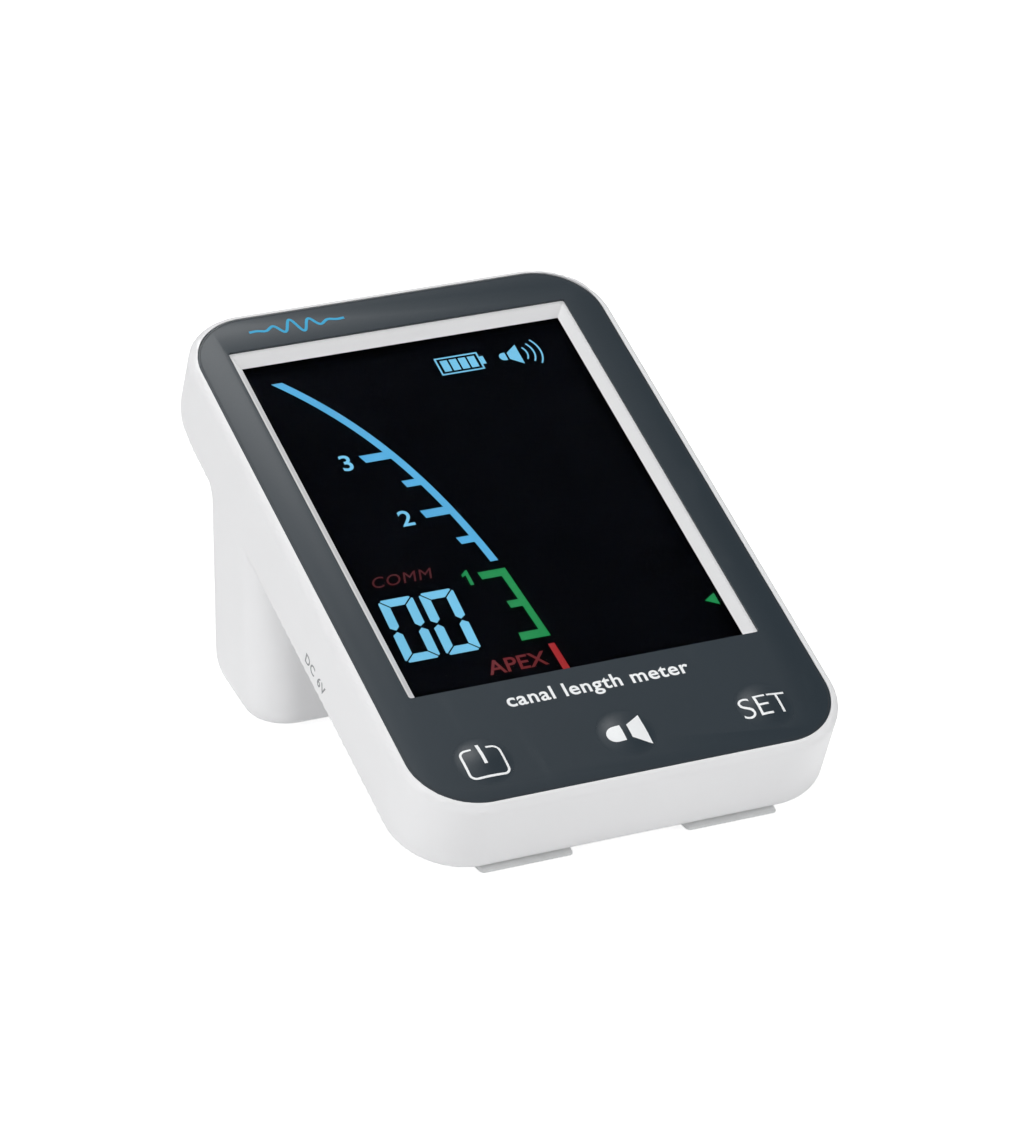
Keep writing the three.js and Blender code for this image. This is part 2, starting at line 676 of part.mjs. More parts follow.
add('battery_holder', batteryHolder(), darkPlastic);
const springSeat = contactInner - contact.thick;
for (let k = 0; k < 4; k += 1) {
  const facing = k % 2 === 0 ? 1 : -1;
  const y = rowY(k % 2);
  const z = rowZ(Math.floor(k / 2));
  const placed = (mesh, along) => {
    mesh.rotation.z = facing > 0 ? 0 : Math.PI;
    mesh.position.set(facing * (along - springSeat), y, z);
  };
  placed(add(`battery_cell_${k + 1}`, batteryCell(), cellJacket), springRoom + gap);
  placed(add(`cell_spring_${k + 1}`, cellSpring(), nickel), 0);
}

add('dc_jack', dcJack(), darkPlastic);
add('dc_jack_pin', dcJackPin(), steel);
add('lead_socket', leadSocket(), darkPlastic);
const holderRoof = rowZ(1) + cell.radius + gap + holder.wall;
add('battery_lead_red', riseToBoard(leads.red, leads.y, holderRoof + gap), redWire);
add('battery_lead_black', riseToBoard(leads.black, leads.y, holderRoof + gap), blackWire);
const socketRoof = socket.z + socket.half;
add('socket_lead', riseToBoard(leads.socketX, socket.y, socketRoof + gap, leads.socketTopX), blackWire);

// The origin is the middle of the footprint, on the table.
const footprint = new THREE.Box3().setFromObject(part);
part.position.y = -(footprint.min.y + footprint.max.y) / 2;
part.updateMatrixWorld(true);

export default part;
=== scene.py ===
import json
import math

import bmesh
import bpy
import numpy as np
from mathutils import Matrix, Vector


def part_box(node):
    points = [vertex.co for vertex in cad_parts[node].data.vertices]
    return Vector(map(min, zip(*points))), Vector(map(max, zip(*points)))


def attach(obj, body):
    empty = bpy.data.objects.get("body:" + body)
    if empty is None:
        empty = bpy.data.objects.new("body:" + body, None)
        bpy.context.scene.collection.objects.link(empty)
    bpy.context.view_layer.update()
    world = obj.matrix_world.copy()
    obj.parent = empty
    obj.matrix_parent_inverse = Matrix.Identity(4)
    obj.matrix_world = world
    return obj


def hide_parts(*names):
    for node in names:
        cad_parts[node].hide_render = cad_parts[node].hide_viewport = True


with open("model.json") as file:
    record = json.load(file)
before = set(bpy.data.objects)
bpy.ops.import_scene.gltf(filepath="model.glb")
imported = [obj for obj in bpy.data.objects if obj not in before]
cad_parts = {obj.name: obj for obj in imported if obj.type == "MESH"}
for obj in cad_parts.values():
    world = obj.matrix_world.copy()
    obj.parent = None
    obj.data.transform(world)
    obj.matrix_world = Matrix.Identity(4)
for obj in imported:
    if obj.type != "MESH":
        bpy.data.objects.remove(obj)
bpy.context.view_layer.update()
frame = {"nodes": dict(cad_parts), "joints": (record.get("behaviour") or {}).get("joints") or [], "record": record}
scene = bpy.context.scene
millimetre = 0.001

# Where the plate stands is read from the frame: its tilt from the way the keys move,
# its middle from the film's box.
film = {"thick": 0.5, "halfX": 39.5, "halfY": 59.65, "radius": 11.5, "edge": 0.08, "keyAir": 0.015}
pressAxis = Vector(next(j for j in frame["joints"] if j["name"] == "set_key_press")["axis"])
tilt = math.asin(pressAxis.y)
filmLow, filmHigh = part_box("faceplate_overlay")
plateY = (filmLow.y + filmHigh.y) / 2 / millimetre - film["thick"] * math.sin(tilt) / 2
plateZ = (filmLow.z + filmHigh.z) / 2 / millimetre + film["thick"] * math.cos(tilt) / 2

plateInLeg = Matrix.Translation((0, 0, plateZ)) @ Matrix.Rotation(tilt, 4, "X")
legInRow = Matrix.Scale(millimetre, 4) @ Matrix.Translation((0, plateY, 0))
plateInRow = legInRow @ plateInLeg


# Mesh helpers
def meshObject(name, points, faces):
    mesh = bpy.data.meshes.new(name)
    mesh.from_pydata([tuple(p) for p in points], [], faces)
    mesh.update()
    obj = bpy.data.objects.new(name, mesh)
    scene.collection.objects.link(obj)
    return obj


def tidyMesh(mesh, weld=1e-4):
    work = bmesh.new()
    work.from_mesh(mesh)
    bmesh.ops.remove_doubles(work, verts=work.verts, dist=weld)
    bmesh.ops.recalc_face_normals(work, faces=work.faces)
    work.to_mesh(mesh)
    work.free()


def bake(obj):
    # Turns the object into a plain mesh of what its modifiers or curve make
    bpy.context.view_layer.update()
    graph = bpy.context.evaluated_depsgraph_get()
    made = bpy.data.meshes.new_from_object(obj.evaluated_get(graph), depsgraph=graph)
    if obj.type == "MESH":
        obj.modifiers.clear()
        obj.data = made
        return obj
    name = obj.name
    bpy.data.objects.remove(obj)
    fresh = bpy.data.objects.new(name, made)
    scene.collection.objects.link(fresh)
    return fresh


def ring(halfX, halfY, radius, centreX=0.0, centreY=0.0, steps=14, backRadius=None):
    # A rounded rectangle; the two corners at the back may have their own radius
    points = []
    radii = [backRadius or radius] * 2 + [radius] * 2
    signs = [(1, 1), (-1, 1), (-1, -1), (1, -1)]
    for corner, (r, (sx, sy)) in enumerate(zip(radii, signs)):
        for k in range(steps + 1):
            angle = math.pi / 2 * (corner + k / steps)
            points.append((centreX + sx * (halfX - r) + r * math.cos(angle),
                           centreY + sy * (halfY - r) + r * math.sin(angle)))
    return points


def circle(radius, centreX=0.0, centreY=0.0, steps=48):
    turn = 2 * math.pi / steps
    return [(centreX + radius * math.cos(turn * k), centreY + radius * math.sin(turn * k))
            for k in range(steps)]


def box2(lowX, highX, lowY, highY):
    return [(lowX, lowY), (highX, lowY), (highX, highY), (lowX, highY)]


def loft(name, rings):
    # A closed body through rings of (x, y, z) points that all have the same count
    count = len(rings[0])
    points = [p for level in rings for p in level]
    faces = [list(range(count))[::-1], [len(points) - count + k for k in range(count)]]
    for row in range(len(rings) - 1):
        for k in range(count):
            a, b = row * count + k, row * count + (k + 1) % count
            faces.append([a, b, b + count, a + count])
    return meshObject(name, points, faces)


def prism(name, outline, low, high):
    return loft(name, [[(x, y, z) for x, y in outline] for z in (low, high)])


def softPrism(name, outlineAt, low, high, rim, steps=3):
    # A prism whose upper rim is rounded; outlineAt gives the outline for an inset
    rings = [[(x, y, low) for x, y in outlineAt(0)]]
    for k in range(steps + 1):
        angle = math.pi / 2 * k / steps
        inset, drop = rim * (1 - math.cos(angle)), rim * (1 - math.sin(angle))
        rings.append([(x, y, high - drop) for x, y in outlineAt(inset)])
    return loft(name, rings)


def lathe(name, profile, steps=64):
    # Turns (radius, z) pairs about z. It starts and ends on the axis
    inner = profile[1:-1]
    points = [(0, 0, profile[0][1])]
    for radius, z in inner:
        points += [(x, y, z) for x, y in circle(radius, steps=steps)]
    points.append((0, 0, profile[-1][1]))
    last = len(points) - 1
    faces = []
    for k in range(steps):
        after = (k + 1) % steps
        faces.append([0, 1 + after, 1 + k])
        for row in range(len(inner) - 1):
            a, b = 1 + row * steps + k, 1 + row * steps + after
            faces.append([a, b, b + steps, a + steps])
        top = 1 + (len(inner) - 1) * steps
        faces.append([top + k, top + after, last])
    obj = meshObject(name, points, faces)
    tidyMesh(obj.data)
    return obj


def place(obj, matrix):
    obj.data.transform(matrix)
    obj.data.update()
    return obj


def combine(base, other, operation="DIFFERENCE"):
    # Cuts other from base, or adds or intersects it, and removes other
    change = base.modifiers.new("combine", "BOOLEAN")
    change.operation, change.object, change.solver = operation, other, "MANIFOLD"
    bake(base)
    bpy.data.objects.remove(other)
    return base


def merge(name, objects):
    work = bmesh.new()
    for obj in objects:
        work.from_mesh(obj.data)
        bpy.data.objects.remove(obj)
    mesh = bpy.data.meshes.new(name)
    work.to_mesh(mesh)
    work.free()
    obj = bpy.data.objects.new(name, mesh)
    scene.collection.objects.link(obj)
    return obj


def smooth(obj, degrees=32):
    obj.data.polygons.foreach_set("use_smooth", [True] * len(obj.data.polygons))
    obj.data.set_sharp_from_angle(angle=math.radians(degrees))
    return obj


def finishPiece(obj, look, body="root", nodes=(), degrees=32):
    smooth(obj, degrees)
    obj.data.materials.clear()
    obj.data.materials.append(look)
    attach(obj, body)
    if nodes:
        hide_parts(*nodes)
    return obj


def cadCopy(name, node):
    # A welded copy of a CAD node in the row frame, to be refined
    mesh = frame["nodes"][node].data.copy()
    obj = bpy.data.objects.new(name, mesh)
    scene.collection.objects.link(obj)
    tidyMesh(mesh, 1e-6)
    return obj


def bevelEdges(obj, width, segments=3, degrees=30):
    bevel = obj.modifiers.new("soften", "BEVEL")
    bevel.width, bevel.segments, bevel.limit_method = width, segments, "ANGLE"
    bevel.angle_limit = math.radians(degrees)
    bevel.harden_normals = False
    return bake(obj)


# Node trees of materials and of grown meshes
def wire(tree, node, inputs):
    # Sets inputs of a node to values, or joins them to the outputs of other nodes
    for label, value in inputs.items():
        if isinstance(value, bpy.types.NodeSocket):
            tree.links.new(value, node.inputs[label])
        else:
            node.inputs[label].default_value = value


def unwire(tree, node, *labels):
    for label in labels:
        for joined in list(node.inputs[label].links):
            tree.links.remove(joined)


def addNode(tree, kind, inputs={}, operation=None, group=None):
    node = tree.nodes.new(kind)
    if operation:
        node.operation = operation
    if group:
        node.node_tree = group
    wire(tree, node, inputs)
    return node


def nodeGroup(name, kind, inputs, outputs):
    tree = bpy.data.node_groups.new(name, kind)
    for label, socketType, value in inputs:
        item = tree.interface.new_socket(label, in_out="INPUT", socket_type=socketType)
        if value is not None:
            item.default_value = value
    for label, socketType in outputs:
        tree.interface.new_socket(label, in_out="OUTPUT", socket_type=socketType)
    return tree, tree.nodes.new("NodeGroupInput").outputs, tree.nodes.new("NodeGroupOutput")


def mouldGrainGroup():
    # Fine eroded grain of a mould or a rolled film, with a slow drift of tone
    tree, given, end = nodeGroup("mouldGrain", "ShaderNodeTree", [
        ("Colour", "NodeSocketColor", (0.8, 0.8, 0.8, 1)),
        ("Grain Scale", "NodeSocketFloat", 4000.0),
        ("Grain Depth", "NodeSocketFloat", 0.1),
        ("Tone Drift", "NodeSocketFloat", 0.03),
        ("Roughness", "NodeSocketFloat", 0.4),
    ], [("Colour", "NodeSocketColor"), ("Roughness", "NodeSocketFloat"),
        ("Normal", "NodeSocketVector")])
    where = addNode(tree, "ShaderNodeTexCoord").outputs["Object"]
    grain = addNode(tree, "ShaderNodeTexNoise", {
        "Vector": where, "Scale": given["Grain Scale"], "Detail": 3}).outputs["Fac"]
    drift = addNode(tree, "ShaderNodeTexNoise", {"Vector": where, "Scale": 38, "Detail": 4})
    bump = addNode(tree, "ShaderNodeBump", {
        "Distance": 0.00005, "Strength": given["Grain Depth"], "Height": grain})
    darkest = addNode(tree, "ShaderNodeMath", {0: 1, 1: given["Tone Drift"]}, "SUBTRACT")
    tone = addNode(tree, "ShaderNodeMapRange", {
        "Value": drift.outputs["Fac"], "From Min": 0.3, "From Max": 0.7,
        "To Min": darkest.outputs[0], "To Max": 1})
    shade = addNode(tree, "ShaderNodeVectorMath", {
        0: given["Colour"], "Scale": tone.outputs["Result"]}, "SCALE")
    rough = addNode(tree, "ShaderNodeMath", {0: grain, 1: 0.12, 2: given["Roughness"]}, "MULTIPLY_ADD")
    wire(tree, end, {"Colour": shade.outputs[0], "Roughness": rough.outputs[0],
                     "Normal": bump.outputs["Normal"]})
    return tree


def handlingWearGroup():
    # A mask of faint scuffs: stretched noise, kept where it peaks
    tree, given, end = nodeGroup("handlingWear", "ShaderNodeTree", [
        ("Scale", "NodeSocketFloat", 260.0), ("Amount", "NodeSocketFloat", 0.3),
    ], [("Mask", "NodeSocketFloat")])
    where = addNode(tree, "ShaderNodeTexCoord").outputs["Object"]
    stretch = addNode(tree, "ShaderNodeMapping", {"Vector": where, "Scale": (1, 0.14, 0.5)})
    noise = addNode(tree, "ShaderNodeTexNoise", {
        "Vector": stretch.outputs[0], "Scale": given["Scale"], "Detail": 5})
    peaks = addNode(tree, "ShaderNodeMapRange", {
        "Value": noise.outputs["Fac"], "From Min": 0.62, "From Max": 0.8, "To Max": given["Amount"]})
    wire(tree, end, {"Mask": peaks.outputs["Result"]})
    return tree


mouldGrain, handlingWear = mouldGrainGroup(), handlingWearGroup()


def linear(hexColour):
    # A colour written as #rrggbb, as scene-linear values
    values = [int(hexColour[k:k + 2], 16) / 255 for k in (1, 3, 5)]
    return tuple(v / 12.92 if v <= 0.04045 else ((v + 0.055) / 1.055) ** 2.4
                 for v in values) + (1.0,)


def material(name, colour, roughness, grain=4000.0, depth=0.1, drift=0.03, wear=0.0, **sockets):
    made = bpy.data.materials.new(name)
    made.use_nodes = True
    tree = made.node_tree
    skin = addNode(tree, "ShaderNodeGroup", {
        "Colour": linear(colour), "Grain Scale": grain, "Grain Depth": depth,
        "Tone Drift": drift, "Roughness": roughness}, group=mouldGrain).outputs
    rough = skin["Roughness"]
    if wear:
        scuffs = addNode(tree, "ShaderNodeGroup", {"Amount": wear}, group=handlingWear)
        rough = addNode(tree, "ShaderNodeMath", {0: rough, 1: scuffs.outputs["Mask"]}).outputs[0]
    wire(tree, tree.nodes["Principled BSDF"], {
        "Base Color": skin["Colour"], "Normal": skin["Normal"], "Roughness": rough,
        **{label.replace("_", " "): value for label, value in sockets.items()}})
    return made


def glowing(name, colour, strength):
    # A lit display segment: its colour comes from behind, with a soft unevenness
    made = material(name, colour, 0.5, depth=0.0)
    tree = made.node_tree
    surface = tree.nodes["Principled BSDF"]
    where = addNode(tree, "ShaderNodeTexCoord").outputs["Object"]
    patch = addNode(tree, "ShaderNodeTexNoise", {"Vector": where, "Scale": 90})
    level = addNode(tree, "ShaderNodeMapRange", {
        "Value": patch.outputs["Fac"], "To Min": strength * 0.86, "To Max": strength * 1.1})
    unwire(tree, surface, "Base Color")
    wire(tree, surface, {"Base Color": (0, 0, 0, 1), "Emission Color": linear(colour),
                         "Emission Strength": level.outputs["Result"]})
    return made


# Colour, roughness, scale of the grain and its depth, drift of the tone
looks = {
    "white_abs": material("whiteAbs", "#ededee", 0.34, 5200, 0.16, 0.02, wear=0.05),
    "slate_film": material("slateFilm", "#253038", 0.38, 3000, 0.3, 0.07, wear=0.08),
    "lcd_black": material("lcdBlack", "#03050c", 0.3, 900, 0.0, 0.15, Specular_IOR_Level=0.05),
    "milky_plastic": material("milkyPlastic", "#d9dcda", 0.45, 2500, 0.1, 0.05),
    "soft_rubber": material("softRubber", "#eeefef", 0.75, 1800, 0.5, 0.1, wear=0.1),
    "dark_plastic": material("darkPlastic", "#232528", 0.5, 3000, 0.3, 0.1),
    "switch_steel": material("switchSteel", "#b9bcc0", 0.28, 2600, 0.1, 0.06, Metallic=1.0),
    "nickel_plate": material("nickelPlate", "#c9c6bd", 0.24, 2600, 0.08, 0.06, Metallic=1.0),
    "red_wire": material("redWire", "#b3261f", 0.42, 1500, 0.1, 0.08),
    "black_wire": material("blackWire", "#1a1a1b", 0.42, 1500, 0.1, 0.08),
}
print("materials ready")


def bandedMaterial(name, bands, roughness, axis, reach, metallic=0.0):
    # Colours in bands along one axis of the object, as a printed sleeve has
    made = material(name, "#ffffff", roughness, Metallic=metallic)
    tree = made.node_tree
    where = addNode(tree, "ShaderNodeTexCoord").outputs["Object"]
    split = addNode(tree, "ShaderNodeSeparateXYZ", {0: where})
    span = addNode(tree, "ShaderNodeMapRange", {
        "Value": split.outputs[axis], "From Min": -reach, "From Max": reach})
    ramp = addNode(tree, "ShaderNodeValToRGB", {"Fac": span.outputs["Result"]})
    ramp.color_ramp.interpolation = "CONSTANT"
    while len(ramp.color_ramp.elements) < len(bands):
        ramp.color_ramp.elements.new(0.5)
    for element, (start, colour) in zip(ramp.color_ramp.elements, bands):
        element.position, element.color = start, linear(colour)
    wire(tree, tree.nodes["Principled BSDF"], {"Base Color": ramp.outputs["Color"]})
    return made


def circuitMaterial():
    # Solder mask over traces: pale lines where two brick patterns cross the board
    made = material("boardGreen", "#1d5b37", 0.38, 2600, 0.1, 0.1)
    tree = made.node_tree
    traces = addNode(tree, "ShaderNodeTexBrick", {
        "Vector": addNode(tree, "ShaderNodeTexCoord").outputs["Object"],
        "Color1": linear("#1d5b37"), "Color2": linear("#1a5433"), "Mortar": linear("#3c8a55"),
        "Scale": 210.0, "Mortar Size": 0.03, "Brick Width": 1.7, "Row Height": 0.42})
    wire(tree, tree.nodes["Principled BSDF"], {"Base Color": traces.outputs["Color"]})
    return made


def clearMaterial():
    made = material("clearAcrylic", "#f4f7fa", 0.0, 1200, 0.0, 0.0,
                    Transmission_Weight=1.0, IOR=1.15)
    surface = made.node_tree.nodes["Principled BSDF"]
    unwire(made.node_tree, surface, "Roughness", "Normal")
    surface.inputs["Roughness"].default_value = 0.015
    return made


cellBands = [(0, "#c9c6bd"), (0.02, "#24486b"), (0.66, "#b88a35"), (0.97, "#c9c6bd")]
cellReach = 0.0232                         # half the length that the bands cover, in metres
looks["cell_jacket"] = bandedMaterial("cellJacket", cellBands, 0.3, "X", cellReach, 0.4)
turnedCellJacket = bandedMaterial("cellJacketTurned", cellBands, 0.3, "X", -cellReach, 0.4)
looks["board_green"] = circuitMaterial()
looks["clear_acrylic"] = clearMaterial()
inks = {
    "white": material("inkWhite", "#f2f4f5", 0.5, 3000, 0.1, 0.02),
    "cyan": material("inkCyan", "#2fa3cf", 0.5, 3000, 0.1, 0.04),
    "grey": material("inkGrey", "#8f9193", 0.5, 3000, 0.1, 0.04),
    # The rim colour is painted shade for the film's edge, not a print.
    "rim": material("paintedRimShade", "#20272d", 0.5, 3000, 0.1, 0.04),
    "blue": glowing("glowBlue", "#55b0e0", 1.0),
    "pale": glowing("glowPale", "#78c8ea", 1.0),
    "green": glowing("glowGreen", "#088f45", 1.0),
    "red": glowing("glowRed", "#a8171a", 1.0),
    "deepRed": glowing("glowDeepRed", "#6a1216", 1.0),
    "dimRed": glowing("glowDimRed", "#4c0d10", 1.0),
}

# Every CAD node that stays takes the look of its material slot.
slotOf = {row["node"]: row["material_slot"] for row in frame["record"]["subparts"]}
for node, obj in frame["nodes"].items():
    obj.data.materials.clear()
    obj.data.materials.append(looks[slotOf[node]])
    smooth(obj, 35)

# Shell of head and leg, from a distance field so that all its rounds run into each other
shellShape = {
    "headHalfX": 41.2, "headHalfY": 61.2, "headRadius": 13.2, "headDepth": 15.8,
    "topRound": 1.5, "underRound": 1.9, "rearUnderRound": 5.0,
    "legHalfX": 41.15, "legFront": 16.2, "legBack": 47.0, "legBase": 1.0,
    "legFrontRadius": 8.0, "legBackRadius": 13.0,
    "baseRound": 6.0, "rearBaseRound": 8.0, "frontBaseRound": 1.6,
    "rearBlend": 9.5, "frontBlend": 4.0, "leastBlend": 0.01, "legTop": -6.0,
    "cell": 0.9, "wall": 2.0, "seam": 0.16,
}
# Stretches over which a round changes: up the head, back along the leg, out to its sides
growth = {"under": (42, 58), "base": (12, 46), "blend": (22, 42), "side": (38.2, 41.1)}


def smoothStep(low, high, value):
    t = np.clip((value - low) / (high - low), 0, 1)
    return t * t * (3 - 2 * t)


def roundedCorner(a, b, radius):
    # Distance to the edge where two walls meet, rounded by radius
    outside = np.hypot(np.maximum(a + radius, 0), np.maximum(b + radius, 0))
    return outside + np.minimum(np.maximum(a, b) + radius, 0) - radius


def shellDistance(p):
    # Distance from points of the leg frame to the outer skin, negative inside
    s = shellShape
    x, y, z = np.abs(p[..., 0]), p[..., 1], p[..., 2]
    v = y * math.cos(tilt) + (z - plateZ) * math.sin(tilt)
    w = -y * math.sin(tilt) + (z - plateZ) * math.cos(tilt)
    plan = roundedCorner(x - s["headHalfX"], np.abs(v) - s["headHalfY"], s["headRadius"])
    half = s["headDepth"] / 2
    under = s["underRound"] + (s["rearUnderRound"] - s["underRound"]) * smoothStep(*growth["under"], v)
    headBody = roundedCorner(plan, np.abs(w + half) - half,
                             np.where(w > -half, s["topRound"], under))
    legMiddle = (s["legFront"] + s["legBack"]) / 2
    radius = s["legFrontRadius"] + (s["legBackRadius"] - s["legFrontRadius"]) * (y > legMiddle)
    legHalfY = s["legBack"] - legMiddle
    plan = roundedCorner(x - s["legHalfX"], np.abs(y - legMiddle) - legHalfY, radius)
    base = s["frontBaseRound"] + (s["rearBaseRound"] - s["frontBaseRound"]) * smoothStep(*growth["base"], y)
    legBody = roundedCorner(plan, s["legBase"] - z, base)
    legBody = np.maximum(legBody, w - s["legTop"])
    blend = s["frontBlend"] + (s["rearBlend"] - s["frontBlend"]) * smoothStep(*growth["blend"], y)
    blend = blend * (1 - smoothStep(*growth["side"], x)) + s["leastBlend"]
    share = np.clip(0.5 + (legBody - headBody) / (2 * blend), 0, 1)
    return legBody * (1 - share) + headBody * share - blend * share * (1 - share)


def surfaceNet(name, distance, low, high, cell):
    # Meshes the zero of a distance field with one vertex in each crossed cell
    axes = [np.arange(a, b + cell, cell) for a, b in zip(low, high)]
    field = distance(np.stack(np.meshgrid(*axes, indexing="ij"), -1))
    inside = field < 0
    size = [n - 1 for n in field.shape]
    corner = lambda *start: tuple(slice(a, a + n) for a, n in zip(start, size))
    total, count = np.zeros(size + [3]), np.zeros(size)
    corners = [(dx, dy, dz) for dx in (0, 1) for dy in (0, 1) for dz in (0, 1)]
    for a in corners:
        for axis in range(3):
            if a[axis]:
                continue
            b = tuple(c + (k == axis) for k, c in enumerate(a))
            fa, fb = field[corner(*a)], field[corner(*b)]
            crossed = (fa < 0) != (fb < 0)
            t = np.where(crossed, fa / np.where(crossed, fa - fb, 1), 0)
            for k in range(3):
                total[..., k] += crossed * (a[k] + (t if k == axis else 0))
            count += crossed
    active = count > 0
    index = -np.ones(size, int)
    index[active] = np.arange(active.sum())
    where = np.argwhere(active) + total[active] / count[active][:, None]
    points = np.array([a[0] for a in axes]) + where * cell
    faces = []
    for axis in range(3):
        u, v = (axis + 1) % 3, (axis + 2) % 3
        after = np.roll(inside, -1, axis)
        changed = inside != after
        trim = [slice(1, -1)] * 3
        trim[axis] = slice(0, -1)
        keep = np.zeros_like(changed)
        keep[tuple(trim)] = changed[tuple(trim)]
        cells = np.argwhere(keep)
        step = np.eye(3, dtype=int)
        around = [index[tuple((cells - i * step[u] - j * step[v]).T)]
                  for i, j in ((0, 0), (1, 0), (1, 1), (0, 1))]
        quads = np.stack(around, 1)
        outwards = inside[tuple(cells.T)]
        quads[~outwards] = quads[~outwards][:, ::-1]
        faces.append(quads)
    small = 0.01
    for _ in range(4):                     # pulls the points onto the surface, down its slope
        value = distance(points)
        slope = np.stack([distance(points + small * e) - value for e in np.eye(3)], -1) / small
        points = points - slope * (value / np.maximum((slope ** 2).sum(-1), 0.2))[:, None]
    return meshObject(name, points.tolist(), np.concatenate(faces).tolist())


def inLeg(obj):
    return place(obj, plateInLeg)


def cylinderAlong(name, radius, low, high, turn, at, steps=48):
    body = prism(name, circle(radius, steps=steps), low, high)
    return place(body, Matrix.Translation(at) @ turn)


towardsBack = Matrix.Rotation(-math.pi / 2, 4, "X")
towardsRight = Matrix.Rotation(math.pi / 2, 4, "Y")

# The field's box reaches past the shell on every side, in the leg frame.
field = {"low": (-43, -59, -1), "high": (43, 65, 68)}
shell = surfaceNet("shell", shellDistance, field["low"], field["high"], shellShape["cell"])
print("shell", len(shell.data.polygons))

window = {"halfX": 33.2, "bottom": -34.6, "top": 51.8, "corner": 0.5,
          "side": 2.0, "topInset": 2.66, "bottomInset": 1.0, "depth": 2.0}
keySpots = {"power": -26.3, "volume": 0.2, "set": 26.5}
keyRow = -51.0
jack = {"x": -31.5, "z": 24.2, "collar": 3.6, "bore": 2.9}
socket = {"y": 29.5, "z": 22.0, "collar": 4.2, "bore": 2.6}
screwSpots = [(-36.6, -40), (36.6, -40), (-36.6, 6), (36.6, 6)]
doorBox = {"halfX": 26.7, "bottom": 7.4, "top": 33.4, "air": 0.2}
# The room inside the leg, and where the bottom cover parts from the housing
legRoom = {"wall": 2.1, "frontRadius": 3.9, "backRadius": 10.9,
           "floor": 3.1, "bend": 5.8, "inset": 2.4, "roof": 3.5}
coverShape = {"inset": 0.6, "lift": 0.2, "air": 0.3, "lip": 1.3, "legHalfX": 27.0, "depth": 36.0}
# Holes in the shell: the air round what stands in them, and how far a cutter runs past
holes = {"film": 0.1, "underFilm": 0.02, "tube": 0.15, "key": 4.3, "counterbore": 2.5, "seat": -14.3,
         "screw": 1.3, "past": 1.2}


def windowRing(z):
    share = -z / window["depth"]
    return [(x, y, z) for x, y in box2(
        -window["halfX"] + share * window["side"], window["halfX"] - share * window["side"],
        window["bottom"] + share * window["bottomInset"], window["top"] - share * window["topInset"])]


def hollowShell(outer):
    s, wall = shellShape, shellShape["wall"]
    room = ring(s["headHalfX"] - wall, s["headHalfY"] - wall, s["headRadius"] - wall)
    combine(outer, inLeg(prism("headRoom", room, -s["headDepth"] + wall, -wall)))
    front, back = s["legFront"] + legRoom["wall"], s["legBack"] - legRoom["wall"]

    def plan(inset):
        far = back - inset
        return ring(s["legHalfX"] - legRoom["wall"] - inset, (far - front) / 2, legRoom["frontRadius"],
                    0, (far + front) / 2, backRadius=legRoom["backRadius"] - inset)

    floor = [(x, y, legRoom["floor"]) for x, y in plan(legRoom["inset"])]
    bend = [(x, y, legRoom["bend"]) for x, y in plan(0)]
    roof = [(x, y, plateZ - legRoom["roof"] + y * math.tan(tilt)) for x, y in plan(0)]
    return combine(outer, loft("legRoom", [floor, bend, roof]))


def coverRegion(grow):
    # The part of the shell that is the bottom cover: the head's floor and the leg's core
    s, c = shellShape, coverShape
    ceiling = -s["headDepth"] + s["wall"] + c["lift"]
    roofAt = lambda y: plateZ + ceiling / math.cos(tilt) + y * math.tan(tilt)
    edge, inset, far = s["legFront"] - c["air"], s["wall"] + c["inset"] - grow, 100
    outline = ring(s["headHalfX"] - inset, s["headHalfY"] - inset, s["headRadius"] - inset)
    floor = inLeg(prism("coverFloor", outline, -c["depth"], ceiling))
    combine(floor, prism("ahead", box2(-far, far, -far, edge), -far, far), "INTERSECT")
    back, below = s["legBack"] - s["baseRound"] + grow, s["legBase"] - holes["past"]
    before, inner, sill = edge - c["lip"], s["legFront"] + legRoom["wall"], s["legBase"] + legRoom["wall"]
    core = [(before, roofAt(before)), (inner, roofAt(inner)), (inner, sill),
            (back, sill), (back, below), (before, below)]
    half = c["legHalfX"] + grow
    leg = loft("coverLeg", [[(x, y, z) for y, z in core] for x in (-half, half)])
    tidyMesh(leg.data)
    return combine(floor, leg, "UNION")


hollowShell(shell)
print("hollowed", len(shell.data.polygons))
cover = shell.copy()
cover.data = shell.data.copy()
cover.name = "bottomCover"
scene.collection.objects.link(cover)
combine(cover, coverRegion(0), "INTERSECT")
combine(shell, coverRegion(shellShape["seam"]))
print("split", len(shell.data.polygons), len(cover.data.polygons))

past, headDepth = holes["past"], shellShape["headDepth"]
recess = ring(film["halfX"] + holes["film"], film["halfY"] + holes["film"],
              film["radius"] + holes["film"], steps=28)
combine(shell, inLeg(prism("recess", recess, -film["thick"] - holes["underFilm"], past)))
combine(shell, inLeg(loft("windowCut", [windowRing(-window["depth"] - past), windowRing(past)])))
for x in keySpots.values():
    keyHole = prism("keyHole", circle(holes["key"], x, keyRow), -shellShape["wall"] - past, past)
    combine(shell, inLeg(keyHole))


def wallHole(name, radius, outside, inside, turn, at):
    # A round hole through a wall that lies between two places along the turned axis
    low, high = min(outside, inside) - past, max(outside, inside) + past
    combine(shell, cylinderAlong(name, radius + holes["tube"], low, high, turn, at))


